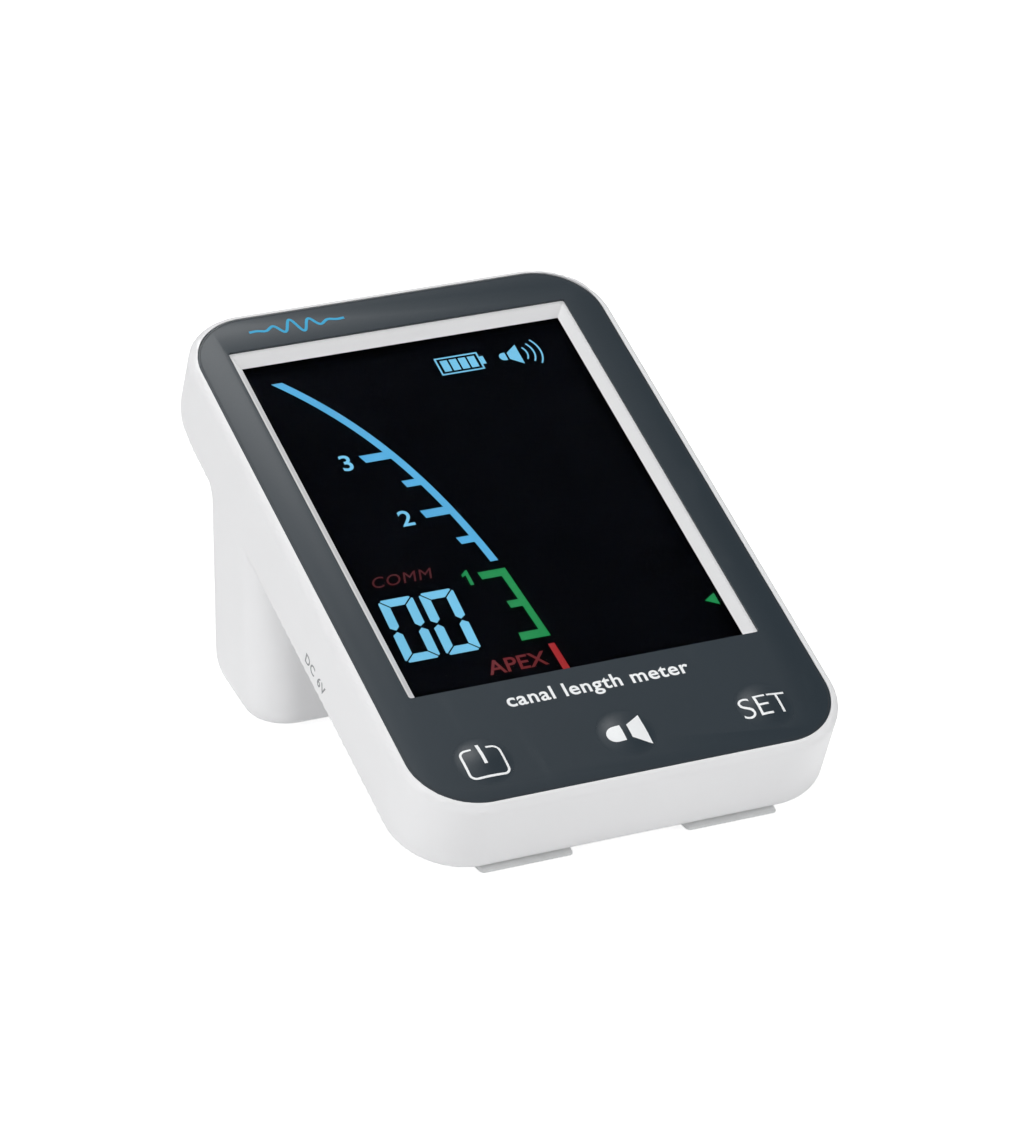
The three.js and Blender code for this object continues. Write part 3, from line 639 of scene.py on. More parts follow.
wallHole("jackHole", jack["collar"], shellShape["legFront"], shellShape["legFront"] + legRoom["wall"],
         towardsBack, (jack["x"], 0, jack["z"]))
wallHole("socketHole", socket["collar"], shellShape["headHalfX"],
         shellShape["headHalfX"] - shellShape["wall"], towardsRight, (0, socket["y"], socket["z"]))
doorHalf, legBack = doorBox["halfX"] + doorBox["air"], shellShape["legBack"]
doorPlan = box2(-doorHalf, doorHalf, legBack - legRoom["wall"] - past, legBack + past)
doorLow, doorHigh = doorBox["bottom"] - doorBox["air"], doorBox["top"] + doorBox["air"]
combine(shell, prism("doorCut", doorPlan, doorLow, doorHigh))
outside, inside = -headDepth - past, -headDepth + shellShape["wall"] + past
for x, y in screwSpots:
    combine(cover, inLeg(prism("counterbore", circle(holes["counterbore"], x, y), outside, holes["seat"])))
    combine(cover, inLeg(prism("screwHole", circle(holes["screw"], x, y), outside, inside)))
print("cut", len(shell.data.polygons), len(cover.data.polygons))
shell.name = "mainHousing"


# Geometry Nodes: one tree for rows of bars, one for the cross-recess screws
def setInputs(modifier, tree, values):
    for item in tree.interface.items_tree:
        if item.item_type == "SOCKET" and item.in_out == "INPUT" and item.name in values:
            modifier[item.identifier] = values[item.name]


def closeTree(tree, end, copies, look):
    # Turns the copies into one mesh in that material, as the tree's result
    real = addNode(tree, "GeometryNodeRealizeInstances", {0: copies.outputs[0]})
    paint = addNode(tree, "GeometryNodeSetMaterial", {"Geometry": real.outputs[0], "Material": look})
    wire(tree, end, {"Geometry": paint.outputs[0]})
    return tree


def barRowTree():
    # A row of equal bars: Count of them, from Start, each Step further on
    tree, given, end = nodeGroup("barRow", "GeometryNodeTree", [
        ("Geometry", "NodeSocketGeometry", None), ("Count", "NodeSocketInt", 5),
        ("Start", "NodeSocketVector", (0, 0, 0)), ("Step", "NodeSocketVector", (0, 1, 0)),
        ("Size", "NodeSocketVector", (1, 1, 1)), ("Material", "NodeSocketMaterial", None),
    ], [("Geometry", "NodeSocketGeometry")])
    line = addNode(tree, "GeometryNodeMeshLine", {
        "Count": given["Count"], "Start Location": given["Start"], "Offset": given["Step"]})
    bar = addNode(tree, "GeometryNodeMeshCube", {"Size": given["Size"]})
    rows = addNode(tree, "GeometryNodeInstanceOnPoints", {
        "Points": line.outputs[0], "Instance": bar.outputs["Mesh"]})
    return closeTree(tree, end, rows, given["Material"])


def crossScrewTree():
    # Pan-head screws with a cross recess, one on each vertex of the input mesh
    tree, given, end = nodeGroup("crossScrew", "GeometryNodeTree", [
        ("Geometry", "NodeSocketGeometry", None), ("Head Radius", "NodeSocketFloat", 2.2),
        ("Head Height", "NodeSocketFloat", 0.9), ("Recess Width", "NodeSocketFloat", 0.5),
        ("Recess Depth", "NodeSocketFloat", 0.6), ("Shank Radius", "NodeSocketFloat", 1.0),
        ("Shank Length", "NodeSocketFloat", 7.0), ("Material", "NodeSocketMaterial", None),
    ], [("Geometry", "NodeSocketGeometry")])

    def arithmetic(operation, a, b):
        return addNode(tree, "ShaderNodeMath", {0: a, 1: b}, operation).outputs[0]

    def vector(x, y, z):
        return addNode(tree, "ShaderNodeCombineXYZ", {0: x, 1: y, 2: z}).outputs[0]

    def shifted(geometry, z):
        return addNode(tree, "GeometryNodeTransform", {
            "Geometry": geometry, "Translation": vector(0, 0, z)}).outputs[0]

    def cylinder(vertices, radius, depth):
        return addNode(tree, "GeometryNodeMeshCylinder", {
            "Vertices": vertices, "Radius": radius, "Depth": depth}).outputs["Mesh"]

    headNode = cylinder(40, given["Head Radius"], given["Head Height"])
    cut = addNode(tree, "GeometryNodeMeshBoolean", {"Mesh 1": headNode}, "DIFFERENCE")
    across = arithmetic("MULTIPLY", given["Head Radius"], 1.15)
    deep = arithmetic("MULTIPLY", given["Recess Depth"], 2)
    low = arithmetic("MULTIPLY", given["Head Height"], -0.5)
    width = given["Recess Width"]
    for size in ((across, width, deep), (width, across, deep)):
        slotNode = addNode(tree, "GeometryNodeMeshCube", {"Size": vector(*size)})
        wire(tree, cut, {"Mesh 2": shifted(slotNode.outputs["Mesh"], low)})
    shank = cylinder(24, given["Shank Radius"], given["Shank Length"])
    both = addNode(tree, "GeometryNodeJoinGeometry", {0: cut.outputs["Mesh"]})
    rise = arithmetic("MULTIPLY", arithmetic("ADD", given["Head Height"], given["Shank Length"]), 0.5)
    wire(tree, both, {0: shifted(shank, rise)})
    onSpots = addNode(tree, "GeometryNodeInstanceOnPoints", {
        "Points": given["Geometry"], "Instance": both.outputs[0]})
    return closeTree(tree, end, onSpots, given["Material"])


barRow, crossScrew = barRowTree(), crossScrewTree()


def grown(name, tree, values, points=((0, 0, 0),)):
    # A mesh made by one of the trees, in the frame its values are given in
    obj = meshObject(name, points, [])
    modifier = obj.modifiers.new("grown", "NODES")
    modifier.node_group = tree
    setInputs(modifier, tree, values)
    return bake(obj)


soundSlots = {"count": 5, "first": -49.2, "pitch": 2.6, "length": 12.0, "width": 1.2,
              "middle": -15.2, "deep": 5.0}
combine(cover, inLeg(grown("soundSlots", barRow, {
    "Count": soundSlots["count"], "Start": (0, soundSlots["first"], soundSlots["middle"]),
    "Step": (0, soundSlots["pitch"], 0),
    "Size": (soundSlots["length"], soundSlots["width"], soundSlots["deep"])})))
for piece, node in ((shell, "main_housing"), (cover, "bottom_cover")):
    place(piece, legInRow)
    finishPiece(piece, looks["white_abs"], "root", [node], 28)
print("shell pieces placed")

# Cover screws in their counterbores
coverScrew = {"low": -15.5, "Head Radius": 2.2, "Head Height": 0.9, "Recess Width": 0.55,
              "Recess Depth": 0.55, "Shank Radius": 1.0, "Shank Length": 7.0}
headMiddle = coverScrew["low"] + coverScrew["Head Height"] / 2
screws = grown("coverScrews", crossScrew, {**coverScrew, "Material": looks["switch_steel"]},
               [(x, y, headMiddle) for x, y in screwSpots])
finishPiece(place(screws, plateInRow), looks["switch_steel"], "root",
            [f"cover_screw_{k}" for k in range(1, 5)])

# Printed film on the face, with its window and the holes round the raised keys
keyDome = {"radius": 5.2, "crown": 0.6, "skirt": 0.2, "rings": 24}
face = softPrism("faceplateFilm", lambda inset: ring(
    film["halfX"] - inset, film["halfY"] - inset, film["radius"] - inset, steps=28),
    -film["thick"], 0, film["edge"])
middle, halfTall = (window["top"] + window["bottom"]) / 2, (window["top"] - window["bottom"]) / 2
filmWindow = ring(window["halfX"], halfTall, window["corner"], 0, middle, steps=4)
combine(face, prism("filmWindow", filmWindow, -past, past))
for x in keySpots.values():
    combine(face, prism("filmHole", circle(keyDome["radius"] + film["keyAir"], x, keyRow, 96), -past, past))
finishPiece(place(face, plateInRow), looks["slate_film"], "root", ["faceplate_overlay"])


def domeHeight(distance):
    # How high a key's dome stands over the film at a distance from its middle
    share = min(1.0, distance / keyDome["radius"])
    return keyDome["crown"] * (1 - share * share) ** 2


for name, spot in keySpots.items():
    profile = [(0, -keyDome["skirt"]), (keyDome["radius"], -keyDome["skirt"])]
    for k in range(keyDome["rings"]):
        distance = keyDome["radius"] * (1 - k / keyDome["rings"])
        profile.append((distance, domeHeight(distance)))
    profile.append((0, keyDome["crown"]))
    dome = lathe(name + "KeyDome", profile, 96)
    place(dome, plateInRow @ Matrix.Translation((spot, keyRow, 0)))
    finishPiece(dome, looks["slate_film"], name + "_key", [name + "_key_dome"])


# Prints and display segments: flat outlines turned into very thin bodies
inkLayer = {"low": 0.004, "high": 0.03}    # over the film, in the plate frame
litLayer = {"low": -3.29, "high": -3.25}   # between the clear window and the display glass
inkMiddle = (inkLayer["low"] + inkLayer["high"]) / 2
litMiddle = (litLayer["low"] + litLayer["high"]) / 2


def flatBody(name, outlines, layer=inkLayer):
    # Outlines in the plate's plane, filled by the even-odd rule and raised through a layer
    curve = bpy.data.curves.new(name, "CURVE")
    curve.dimensions, curve.fill_mode = "2D", "BOTH"
    curve.extrude = (layer["high"] - layer["low"]) / 2
    for outline in outlines:
        spline = curve.splines.new("POLY")
        spline.points.add(len(outline) - 1)
        for point, (x, y) in zip(spline.points, outline):
            point.co = (x, y, 0, 1)
        spline.use_cyclic_u = True
    obj = bpy.data.objects.new(name, curve)
    scene.collection.objects.link(obj)
    obj = bake(obj)
    tidyMesh(obj.data, 1e-5)
    return place(obj, Matrix.Translation((0, 0, (layer["low"] + layer["high"]) / 2)))


def lettering(name, text, height, centre, weight=0.0, slant=0.0, stretch=1.0, spacing=1.0):
    # Text of a cap height, centred on a point of the plate, in the ink layer
    font = bpy.data.curves.new(name, "FONT")
    font.body, font.size, font.shear, font.offset = text, 1, slant, weight
    font.space_character, font.extrude, font.resolution_u = spacing, 0.01, 5
    obj = bpy.data.objects.new(name, font)
    scene.collection.objects.link(obj)
    obj = bake(obj)
    tidyMesh(obj.data, 1e-5)
    low, high = (Vector(f(v.co[k] for v in obj.data.vertices) for k in range(3)) for f in (min, max))
    tall = high.y - low.y
    if any(letter in text for letter in "pgyq"):
        tall *= 0.78                       # leaves the descenders out of the height
    scale = height / tall
    shift = Matrix.Translation((-(low.x + high.x) / 2, -(high.y - tall / 2), 0))
    thicken = (inkLayer["high"] - inkLayer["low"]) / (high.z - low.z)
    size = Matrix.Diagonal((scale * stretch, scale, thicken, 1))
    return place(obj, Matrix.Translation((centre[0], centre[1], inkMiddle)) @ size @ shift)


def strokeOutline(points, width):
    # The outline of a line of that width through the points
    left, right = [], []
    for k, point in enumerate(points):
        a, b = Vector(points[max(k - 1, 0)]), Vector(points[min(k + 1, len(points) - 1)])
        side = Vector((a.y - b.y, b.x - a.x)).normalized() * width / 2
        left.append(tuple(Vector(point) + side))
        right.append(tuple(Vector(point) - side))
    return left + right[::-1]


def onFace(obj, ink, body="root"):
    return finishPiece(place(obj, plateInRow), ink, body)


title = {"text": "canal length meter", "height": 3.05, "centre": (0, -39.2),
         "weight": 0.018, "stretch": 1.02, "spacing": 1.08}
onFace(lettering("titlePrint", **title), inks["white"])

# A plain pulse trace decorates the top left corner.
trace = {"left": -27.5, "length": 18.5, "height": 55.9, "swing": 1.7, "waves": 5, "narrow": 4.0,
         "line": 0.55, "steps": 120}
wave = []
for k in range(trace["steps"] + 1):
    share = k / trace["steps"]
    swell = trace["swing"] * math.exp(-((share - 0.5) * trace["narrow"]) ** 2)
    wave.append((trace["left"] + trace["length"] * share,
                 trace["height"] + swell * math.sin(share * 2 * math.pi * trace["waves"])))
onFace(flatBody("cornerTrace", [strokeOutline(wave, trace["line"])]), inks["cyan"])

# Painted shade: a darker line runs round the film just inside its edge, in place of the shade that falls at the
# film's rim.
rimShade = {"inset": 0.3, "width": 0.16, "low": 0.002, "high": 0.012}
rimOutlines = [ring(film["halfX"] - inset, film["halfY"] - inset, film["radius"] - inset, steps=28)
               for inset in (rimShade["inset"], rimShade["inset"] + rimShade["width"])]
onFace(flatBody("filmRimShade", rimOutlines, rimShade), inks["rim"])


def drape(obj, spot, piece=0.7, lift=0.012):
    # Cuts a flat print into small pieces and lays it over the key's dome
    work = bmesh.new()
    work.from_mesh(obj.data)
    for _ in range(3):
        slack = [e for e in work.edges if e.calc_length() > piece]
        bmesh.ops.subdivide_edges(work, edges=slack, cuts=1)
        bmesh.ops.triangulate(work, faces=work.faces)
    for vertex in work.verts:
        distance = math.hypot(vertex.co.x - spot, vertex.co.y - keyRow)
        vertex.co.z += domeHeight(distance) + lift
    work.to_mesh(obj.data)
    work.free()
    return obj


# A rounded frame open at the top, with a bar that stands in the opening
powerSign = {"halfX": 3.6, "halfY": 3.096, "corner": 1.15, "line": 0.42, "halfGap": 1.35, "drop": 0.35,
             "barHalf": 0.3, "barLow": -0.9, "barHigh": 3.6}


def powerIcon(spot):
    p = powerSign
    middle, quarters = keyRow - p["drop"], [(1, 1, 0.5), (1, -1, 0), (-1, -1, -0.5), (-1, 1, -1)]
    path = [(spot + p["halfGap"], middle + p["halfY"])]
    for sx, sy, start in quarters:
        cx, cy = spot + sx * (p["halfX"] - p["corner"]), middle + sy * (p["halfY"] - p["corner"])
        angles = [math.pi * (start - k / 12) for k in range(7)]
        path += [(cx + p["corner"] * math.cos(a), cy + p["corner"] * math.sin(a)) for a in angles]
    path.append((spot - p["halfGap"], middle + p["halfY"]))
    bar = box2(spot - p["barHalf"], spot + p["barHalf"], keyRow + p["barLow"], keyRow + p["barHigh"])
    arc = flatBody("arc", [strokeOutline(path, p["line"])])
    return merge("powerKeyPrint", [arc, flatBody("bar", [bar])])


# A speaker: a half round body on the left and a horn on the right
volumeSign = {"body": 1.7, "bodyMiddle": -2.0, "bodyFlat": -0.75, "drop": 0.1,
              "hornLow": -1.45, "hornHigh": 1.35, "hornLeft": 0.45, "hornRight": 3.6, "hornTall": 3.35}


def volumeIcon(spot):
    p = volumeSign
    middle, flat = keyRow - p["drop"], spot + p["bodyFlat"]
    dot = [(spot + p["bodyMiddle"] + p["body"] * math.cos(a), middle + p["body"] * math.sin(a))
           for a in (math.pi / 2 + math.pi * k / 16 for k in range(17))]
    dot += [(flat, middle - p["body"]), (flat, middle + p["body"])]
    left, right = spot + p["hornLeft"], spot + p["hornRight"]
    horn = [(left, keyRow + p["hornLow"]), (right, keyRow - p["hornTall"]),
            (right, keyRow + p["hornTall"]), (left, keyRow + p["hornHigh"])]
    return flatBody("volumeKeyPrint", [dot, horn])


setSign = {"text": "SET", "height": 4.55, "centre": (keySpots["set"], keyRow - 0.05),
           "weight": -0.012, "stretch": 0.92, "spacing": 0.98}
prints = {
    "power": powerIcon(keySpots["power"]),
    "volume": volumeIcon(keySpots["volume"]),
    "set": lettering("setKeyPrint", **setSign),
}
for name, piece in prints.items():
    onFace(drape(piece, keySpots[name]), inks["white"], name + "_key")

# Raised print on the left wall of the head, reading up the wall
labelSpot = {"along": -15.9, "below": -11.6}
sideLabel = lettering("sideLabel", "DC 6V", 2.0, (0, 0), 0.012, 0, 1.05, 1.15)
labelTurn = Matrix(((0, 0, -1, -shellShape["headHalfX"]), (-1, 0, 0, labelSpot["along"]),
                    (0, 1, 0, labelSpot["below"]), (0, 0, 0, 1)))
onFace(place(sideLabel, labelTurn), inks["grey"])
print("prints placed")

# Lit segments of the display, in one thin layer between the window and the glass
def onDisplay(name, outlines, ink):
    return finishPiece(place(flatBody(name, outlines, litLayer), plateInRow), inks[ink])


def displayText(name, text, height, centre, ink, **style):
    body = lettering(name, text, height, centre, **style)
    place(body, plateInRow @ Matrix.Translation((0, 0, litMiddle - inkMiddle)))
    return finishPiece(body, inks[ink])


# The scale's curve through five places: its middle, its height on the plate and its width
curvePlaces = [(-25.85, 45.3, 2.12), (-18.17, 35.09, 1.8), (-11.4, 21.76, 1.62),
               (-7.08, 8.42, 1.52), (-4.32, -5.05, 1.46)]
curveMiddles, curveHeights, curveWidths = zip(*curvePlaces)
middleFit = np.polyfit(curveHeights, curveMiddles, 4)
widthFit = np.polyfit(curveHeights, curveWidths, 2)


def curveEdge(height, side, sunk=0.0):
    # The left (-1) or right (1) edge of the curve at a height, moved in by sunk
    return float(np.polyval(middleFit, height) + side * (np.polyval(widthFit, height) / 2 - sunk))


def tick(left, top, bottom, lean, sunk=0.3):
    right = [(curveEdge(height, -1, sunk), height) for height in (bottom, top)]
    return [(left, top), (left + lean, bottom), *right]


levels = np.linspace(curveHeights[0], curveHeights[-1], 29)
curveOutline = [(curveEdge(v, -1), v) for v in levels] + [(curveEdge(v, 1), v) for v in levels[::-1]]
ticks = [tick(-18.16, 24.67, 22.84, 0.72), tick(-13.0, 17.09, 15.45, 0.46),
         tick(-12.58, 9.42, 7.55, 0.46), tick(-8.83, 1.76, 0.1, 0.42)]
blueParts = [flatBody("part", [outline], litLayer) for outline in [curveOutline, *ticks]]
finishPiece(place(merge("scaleCurve", blueParts), plateInRow), inks["blue"])

greenOutline = [
    (-8.41, -7.08), (-3.18, -7.08), (-1.68, -24.08), (-7.16, -24.08), (-7.0, -22.24), (-3.2, -22.24),
    (-3.72, -16.35), (-5.92, -16.35), (-6.06, -14.7), (-3.86, -14.7), (-4.5, -8.78), (-8.2, -8.78),
]
onDisplay("apicalScale", [greenOutline], "green")
onDisplay("apexBar", [[(-2.98, -25.9), (-1.8, -25.9), (-1.42, -32.6), (-2.72, -32.6)]], "red")
displayText("scaleThree", "3", 3.85, (-21.0, 23.55), "pale", weight=0.012)
displayText("scaleTwo", "2", 3.75, (-15.75, 8.3), "pale", weight=0.012)
onDisplay("scaleOne", [[(-10.35, -6.05), (-10.1, -6.05), (-10.1, -9.6), (-10.75, -9.6), (-10.75, -7.15),
                       (-11.45, -7.5), (-11.45, -6.95)]], "green")
displayText("apexWord", "APEX", 3.2, (-10.1, -28.75), "deepRed", weight=0.012, slant=0.06, stretch=1.02)
displayText("modeWord", "COMM", 2.5, (-21.9, -5.2), "dimRed", weight=0.0, slant=0.28, spacing=1.1)
onDisplay("pointer", [[(28.7, -22.9), (31.0, -21.5), (31.0, -24.3)]], "green")


digit = {"low": -24.24, "width": 6.5, "tall": 14.8, "thick": 1.95, "air": 0.2, "lean": 0.5, "notch": 0.45}
digitLefts = (-28.95, -21.3)


def sevenSegmentZero(left, low, width, tall, thick, air, lean, notch):
    # The six outer segments of a digit, mitred where they meet
    half, cut = tall / 2, thick / 2
    slanted = lambda x, y: (left + x + lean * y / tall, low + y)
    top = [(air + notch, tall), (width - air - notch, tall),
           (width - notch * 0.6 - air, tall - notch * 0.6), (width - thick, tall - thick + air),
           (thick, tall - thick + air), (air + notch * 0.6, tall - notch * 0.6)]
    upper = [(0, tall - air - notch), (notch * 0.5, tall - air - notch * 0.55), (thick - air, tall - thick),
             (thick - air, half + cut), (cut, half + air), (0, half + cut * 0.9)]
    flip = lambda outline: [(x, tall - y) for x, y in outline]
    mirror = lambda outline: [(width - x, y) for x, y in outline]
    shapes = [top, upper, mirror(upper), flip(top), flip(upper), flip(mirror(upper))]
    return [[slanted(x, y) for x, y in outline] for outline in shapes]


onDisplay("digits", [outline for left in digitLefts
                     for outline in sevenSegmentZero(left, **digit)], "pale")

batterySign = {"left": 4.75, "low": 40.6, "width": 8.5, "tall": 4.4, "line": 0.3, "nubGap": 0.05, "nub": 0.7,
               "nubShare": 0.28, "bars": 4, "bar": 1.4, "pitch": 1.8, "barLeft": 0.85, "barInset": 0.8}


def batteryIcon():
    b = batterySign
    left, low, line = b["left"], b["low"], b["line"]
    right, high = left + b["width"], low + b["tall"]
    nubLow, nubLeft = b["tall"] * b["nubShare"], right + b["nubGap"]
    starts = [left + b["barLeft"] + b["pitch"] * k for k in range(b["bars"])]
    bars = [box2(x, x + b["bar"], low + b["barInset"], high - b["barInset"]) for x in starts]
    return [box2(left, right, low, high), box2(left + line, right - line, low + line, high - line),
            box2(nubLeft, nubLeft + b["nub"], low + nubLow, high - nubLow), *bars]


onDisplay("batteryIcon", batteryIcon(), "pale")

soundSign = {"height": 42.75, "body": 0.95, "bodyMiddle": 17.9, "bodyFlat": 18.3,
             "hornLeft": 18.75, "hornRight": 21.0, "hornLow": 0.8, "hornTall": 2.5,
             "waveMiddle": 19.9, "waves": (2.6, 3.95, 5.3), "line": 0.3, "spread": 0.62}


def soundIcon():
    p = soundSign
    y, r = p["height"], p["body"]
    body = [(p["bodyMiddle"] + r * math.cos(a), y + r * math.sin(a))
            for a in (math.pi / 2 + math.pi * k / 12 for k in range(13))]
    body += [(p["bodyFlat"], y - r), (p["bodyFlat"], y + r)]
    horn = [(p["hornLeft"], y - p["hornLow"]), (p["hornRight"], y - p["hornTall"]),
            (p["hornRight"], y + p["hornTall"]), (p["hornLeft"], y + p["hornLow"])]
    angles = [p["spread"] * (k / 8 - 1) for k in range(17)]
    waves = [strokeOutline([(p["waveMiddle"] + radius * math.cos(a), y + radius * math.sin(a))
                            for a in angles], p["line"]) for radius in p["waves"]]
    return [body, horn, *waves]


onDisplay("soundIcon", soundIcon(), "pale")
print("display placed")

# Battery lid: the CAD lid softened, with grip ribs and a pull arrow
lidShape = {"edge": 0.00032, "ribs": 6, "firstRib": 12.5, "ribPitch": 2.0, "ribSize": (20.0, 0.5, 0.8),
            "ribEdge": 0.16, "proud": 0.05, "arrowHalf": 2.6, "arrowLow": 25.2, "arrowHigh": 27.4,
            "arrowThick": 0.3, "arrowEdge": 0.08}
lid = bevelEdges(cadCopy("batteryLid", "battery_door"), lidShape["edge"], 3)
finishPiece(lid, looks["white_abs"], "battery_lid", ["battery_door"])
lidRibs = grown("batteryLidRibs", barRow, {
    "Count": lidShape["ribs"], "Start": (0, shellShape["legBack"] + lidShape["proud"], lidShape["firstRib"]),
    "Step": (0, 0, lidShape["ribPitch"]), "Size": lidShape["ribSize"], "Material": looks["white_abs"]})
lidRibs = bevelEdges(lidRibs, lidShape["ribEdge"], 2)
finishPiece(place(lidRibs, legInRow), looks["white_abs"], "battery_lid")
arrow = prism("batteryLidArrow", [(-lidShape["arrowHalf"], lidShape["arrowLow"]),
                                  (lidShape["arrowHalf"], lidShape["arrowLow"]),
                                  (0, lidShape["arrowHigh"])], 0, lidShape["arrowThick"])
standing = Matrix(((-1, 0, 0, 0), (0, 0, 1, shellShape["legBack"] - lidShape["proud"]),
                   (0, 1, 0, 0), (0, 0, 0, 1)))
arrow = bevelEdges(place(arrow, standing), lidShape["arrowEdge"], 2)
finishPiece(place(arrow, legInRow), looks["white_abs"], "battery_lid")

# Battery cells with rolled rims and a contact nub, every second one turned round
cellShape = {"rim": 0.5, "rolled": 0.3, "nub": 1.9, "nubHeight": 0.8, "nubRim": 0.25}


def cellProfile(radius, length):
    rim, nub, nubRim = cellShape["rim"], cellShape["nub"], cellShape["nubRim"]
    inner, shoulder = rim * cellShape["rolled"], length - cellShape["nubHeight"]
    return [(0, 0), (radius - rim, 0), (radius - inner, inner), (radius, rim),
            (radius, shoulder - rim), (radius - inner, shoulder - inner), (radius - rim, shoulder),
            (nub, shoulder), (nub, length - nubRim), (nub - nubRim, length), (0, length)]


for number in range(1, 5):
    node, facesRight = f"battery_cell_{number}", number % 2 == 1
    low, high = (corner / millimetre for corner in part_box(node))
    foot = Vector((low.x if facesRight else high.x, (low.y + high.y) / 2, (low.z + high.z) / 2))
    lying = Matrix.Rotation(math.pi / 2 if facesRight else -math.pi / 2, 4, "Y")
    cell = lathe(f"batteryCell{number}", cellProfile((high.z - low.z) / 2, high.x - low.x))
    place(cell, Matrix.Scale(millimetre, 4) @ Matrix.Translation(foot) @ lying)
    jacket = looks["cell_jacket"] if facesRight else turnedCellJacket
    finishPiece(cell, jacket, "root", [node], 40)

# Feet with softened corners: the round of their edges in metres, and its steps
footEdges = {"front": (0.0011, 4), "rear": (0.0002, 2)}
for side in ("left", "right"):
    for end, (edge, steps) in footEdges.items():
        node = f"{end}_foot_{side}"
        foot = bevelEdges(cadCopy(f"{end}Foot.{side}", node), edge, steps, 50)
        finishPiece(foot, looks["soft_rubber"], "root", [node], 40)


# Rims and contact sleeves in the two sockets
def tube(name, outer, inner, low, high, chamfer=0.08, steps=64):
    # A turned ring with chamfered rims, its axis along z
    section = [(inner, low), (outer - chamfer, low), (outer, low + chamfer), (outer, high - chamfer),
               (outer - chamfer, high), (inner + chamfer, high), (inner, high - chamfer)]
    points = [(x, y, z) for radius, z in section for x, y in circle(radius, steps=steps)]
    faces = []
    for row in range(len(section)):
        below, above = row * steps, (row + 1) % len(section) * steps
        for k in range(steps):
            after = (k + 1) % steps
            faces.append([below + k, below + after, above + after, above + k])
    obj = meshObject(name, points, faces)
    tidyMesh(obj.data)
    return obj


jackAt = Matrix.Translation((jack["x"], 0, jack["z"])) @ Matrix.Rotation(math.pi / 2, 4, "X")
socketAt = Matrix.Translation((0, socket["y"], socket["z"])) @ towardsRight
legFront, sideWall = shellShape["legFront"], shellShape["headHalfX"]
# Outer and inner radius, then the two ends along the hole
sleeves = [
    ("dcJackRim", jackAt, "dark_plastic",
     (jack["collar"] + 0.05, jack["bore"], -legFront - 0.3, -legFront + 0.3)),
    ("dcJackSleeve", jackAt, "nickel_plate",
     (jack["bore"] - 0.05, jack["bore"] - 0.3, -legFront - 7.8, -legFront - 0.6)),
    ("leadSocketRim", socketAt, "dark_plastic",
     (socket["collar"] + 0.05, socket["bore"], sideWall - 0.25, sideWall)),
    ("leadSocketSleeve", socketAt, "nickel_plate",
     (socket["bore"] - 0.05, socket["bore"] - 0.35, sideWall - 5.2, sideWall - 0.6)),
]
for name, turn, look, sizes in sleeves:
    finishPiece(place(place(tube(name, *sizes), turn), legInRow), looks[look], "root")
print("fittings placed")

# Camera, in the row frame
view = {"spot": (-0.3562, -0.7676, 0.3931), "forward": (0.3884, 0.8329, -0.3941),
        "lens": 165.06, "sensor": 36.0, "near": 0.01, "far": 50.0}
camera = bpy.data.objects.new("camera", bpy.data.cameras.new("camera"))
scene.collection.objects.link(camera)
camera.data.sensor_width, camera.data.lens = view["sensor"], view["lens"]
camera.data.clip_start, camera.data.clip_end = view["near"], view["far"]
forward = Vector(view["forward"]).normalized()
right = forward.cross(Vector((0, 0, 1))).normalized()
up = right.cross(forward)
turn = Matrix((right, up, -forward)).transposed().to_4x4()
camera.matrix_world = Matrix.Translation(view["spot"]) @ turn
scene.camera = camera
scene.view_settings.view_transform = "Standard"

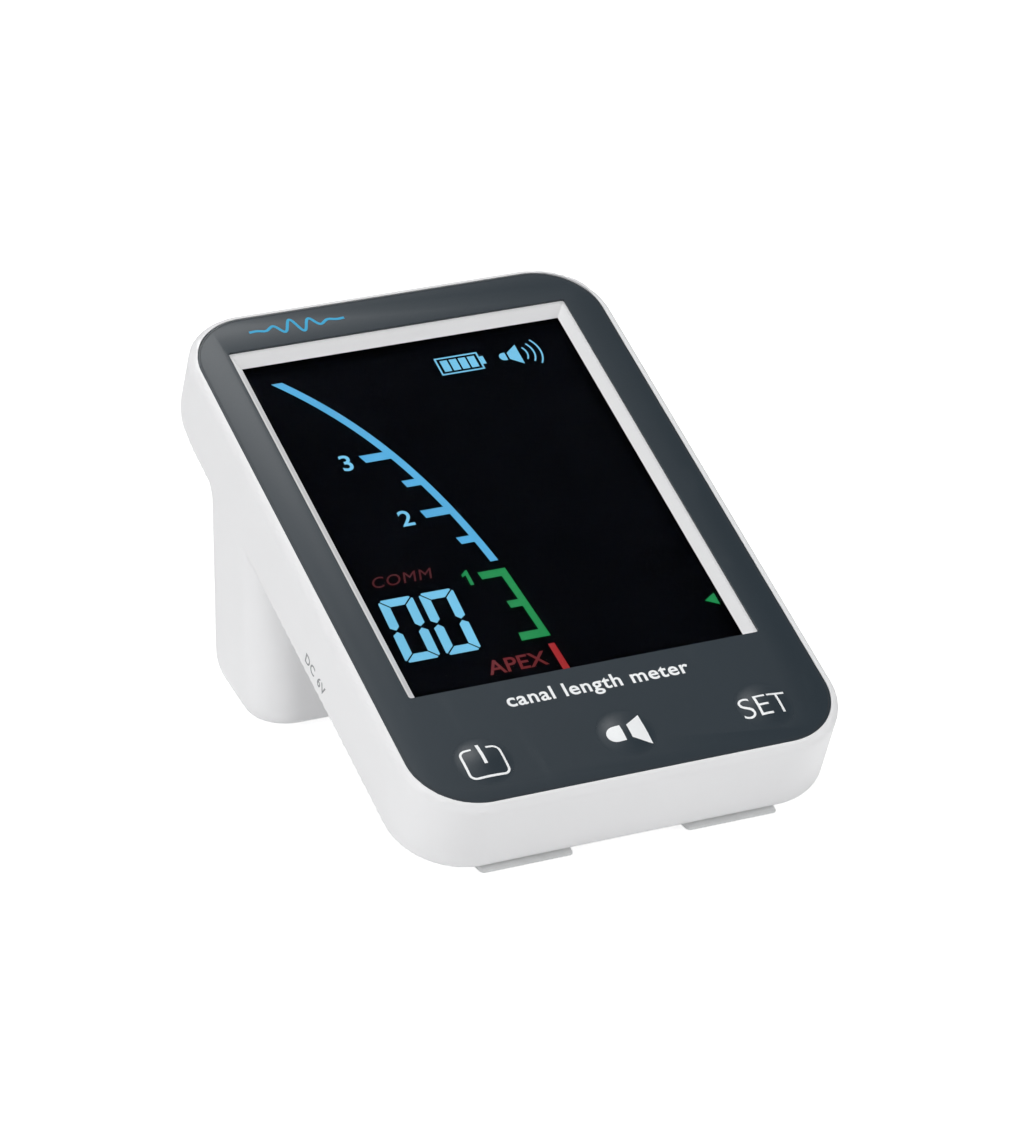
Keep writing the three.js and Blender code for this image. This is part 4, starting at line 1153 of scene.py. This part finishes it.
# Studio: pale floor, sky that is bright round the horizon and dark overhead, soft lamps
studio = {"floorHalf": 6, "floorGrey": 0.8, "glowSeen": 0.7, "glowCast": 0.2,
          "skyColour": (0.97, 0.985, 1, 1), "skyLow": 0.3, "skyHigh": 0.72,
          "skyBright": 0.3, "skyDark": 0.02}
half, grey = studio["floorHalf"], studio["floorGrey"]
floor = meshObject("studioFloor", [(x, y, 0) for x, y in box2(-half, half, -half, half)], [[0, 1, 2, 3]])
floorLook = bpy.data.materials.new("studioFloor")
floorLook.use_nodes = True
floorTree = floorLook.node_tree
floorPath = addNode(floorTree, "ShaderNodeLightPath")
floorGlow = addNode(floorTree, "ShaderNodeMapRange", {
    "Value": floorPath.outputs["Is Camera Ray"], "To Min": studio["glowCast"], "To Max": studio["glowSeen"]})
wire(floorTree, floorTree.nodes["Principled BSDF"], {
    "Base Color": (grey, grey, grey, 1), "Roughness": 0.9, "Specular IOR Level": 0.1,
    "Emission Color": (1, 1, 1, 1), "Emission Strength": floorGlow.outputs["Result"]})
floor.data.materials.append(floorLook)

world = bpy.data.worlds.new("studioSky")
scene.world = world
world.use_nodes = True
skyTree = world.node_tree
skyWhere = addNode(skyTree, "ShaderNodeTexCoord").outputs["Generated"]
skySplit = addNode(skyTree, "ShaderNodeSeparateXYZ", {0: skyWhere})
skyRamp = addNode(skyTree, "ShaderNodeMapRange", {
    "Value": skySplit.outputs["Z"], "From Min": studio["skyLow"], "From Max": studio["skyHigh"],
    "To Min": studio["skyBright"], "To Max": studio["skyDark"]})
skyPath = addNode(skyTree, "ShaderNodeLightPath")
# The camera itself sees a white sky.
skyLevel = addNode(skyTree, "ShaderNodeMath", {
    0: skyRamp.outputs["Result"], 1: skyPath.outputs["Is Camera Ray"]}, "MAXIMUM")
wire(skyTree, skyTree.nodes["Background"], {
    "Strength": skyLevel.outputs[0], "Color": studio["skyColour"]})


# Each lamp's spot in metres, the width of its disk and its power in watts
lampAim = Vector((0, 0, 0.03))
lamps = {
    "leftLamp": ((-1.6, -0.5, 0.9), 0.9, 7.8),
    "frontLamp": ((0.1, -1.8, 1.1), 0.9, 3.3),
    "topLamp": ((-0.5, -0.5, 2.0), 0.8, 14),
    "upperLeftLamp": ((-1.45, -0.3, 1.1), 0.5, 3.4),
    "backLamp": ((0.2, 1.05, 1.8), 0.35, 15),
    "rightLamp": ((1.7, -0.9, 0.7), 0.8, 9.5),
}
for name, (spot, size, power) in lamps.items():
    lamp = bpy.data.objects.new(name, bpy.data.lights.new(name, "AREA"))
    lamp.data.shape, lamp.data.size, lamp.data.energy = "DISK", size, power
    lamp.location = spot
    lamp.rotation_mode = "QUATERNION"
    lamp.rotation_quaternion = (Vector(spot) - lampAim).to_track_quat("Z", "Y")
    scene.collection.objects.link(lamp)
print("studio ready")
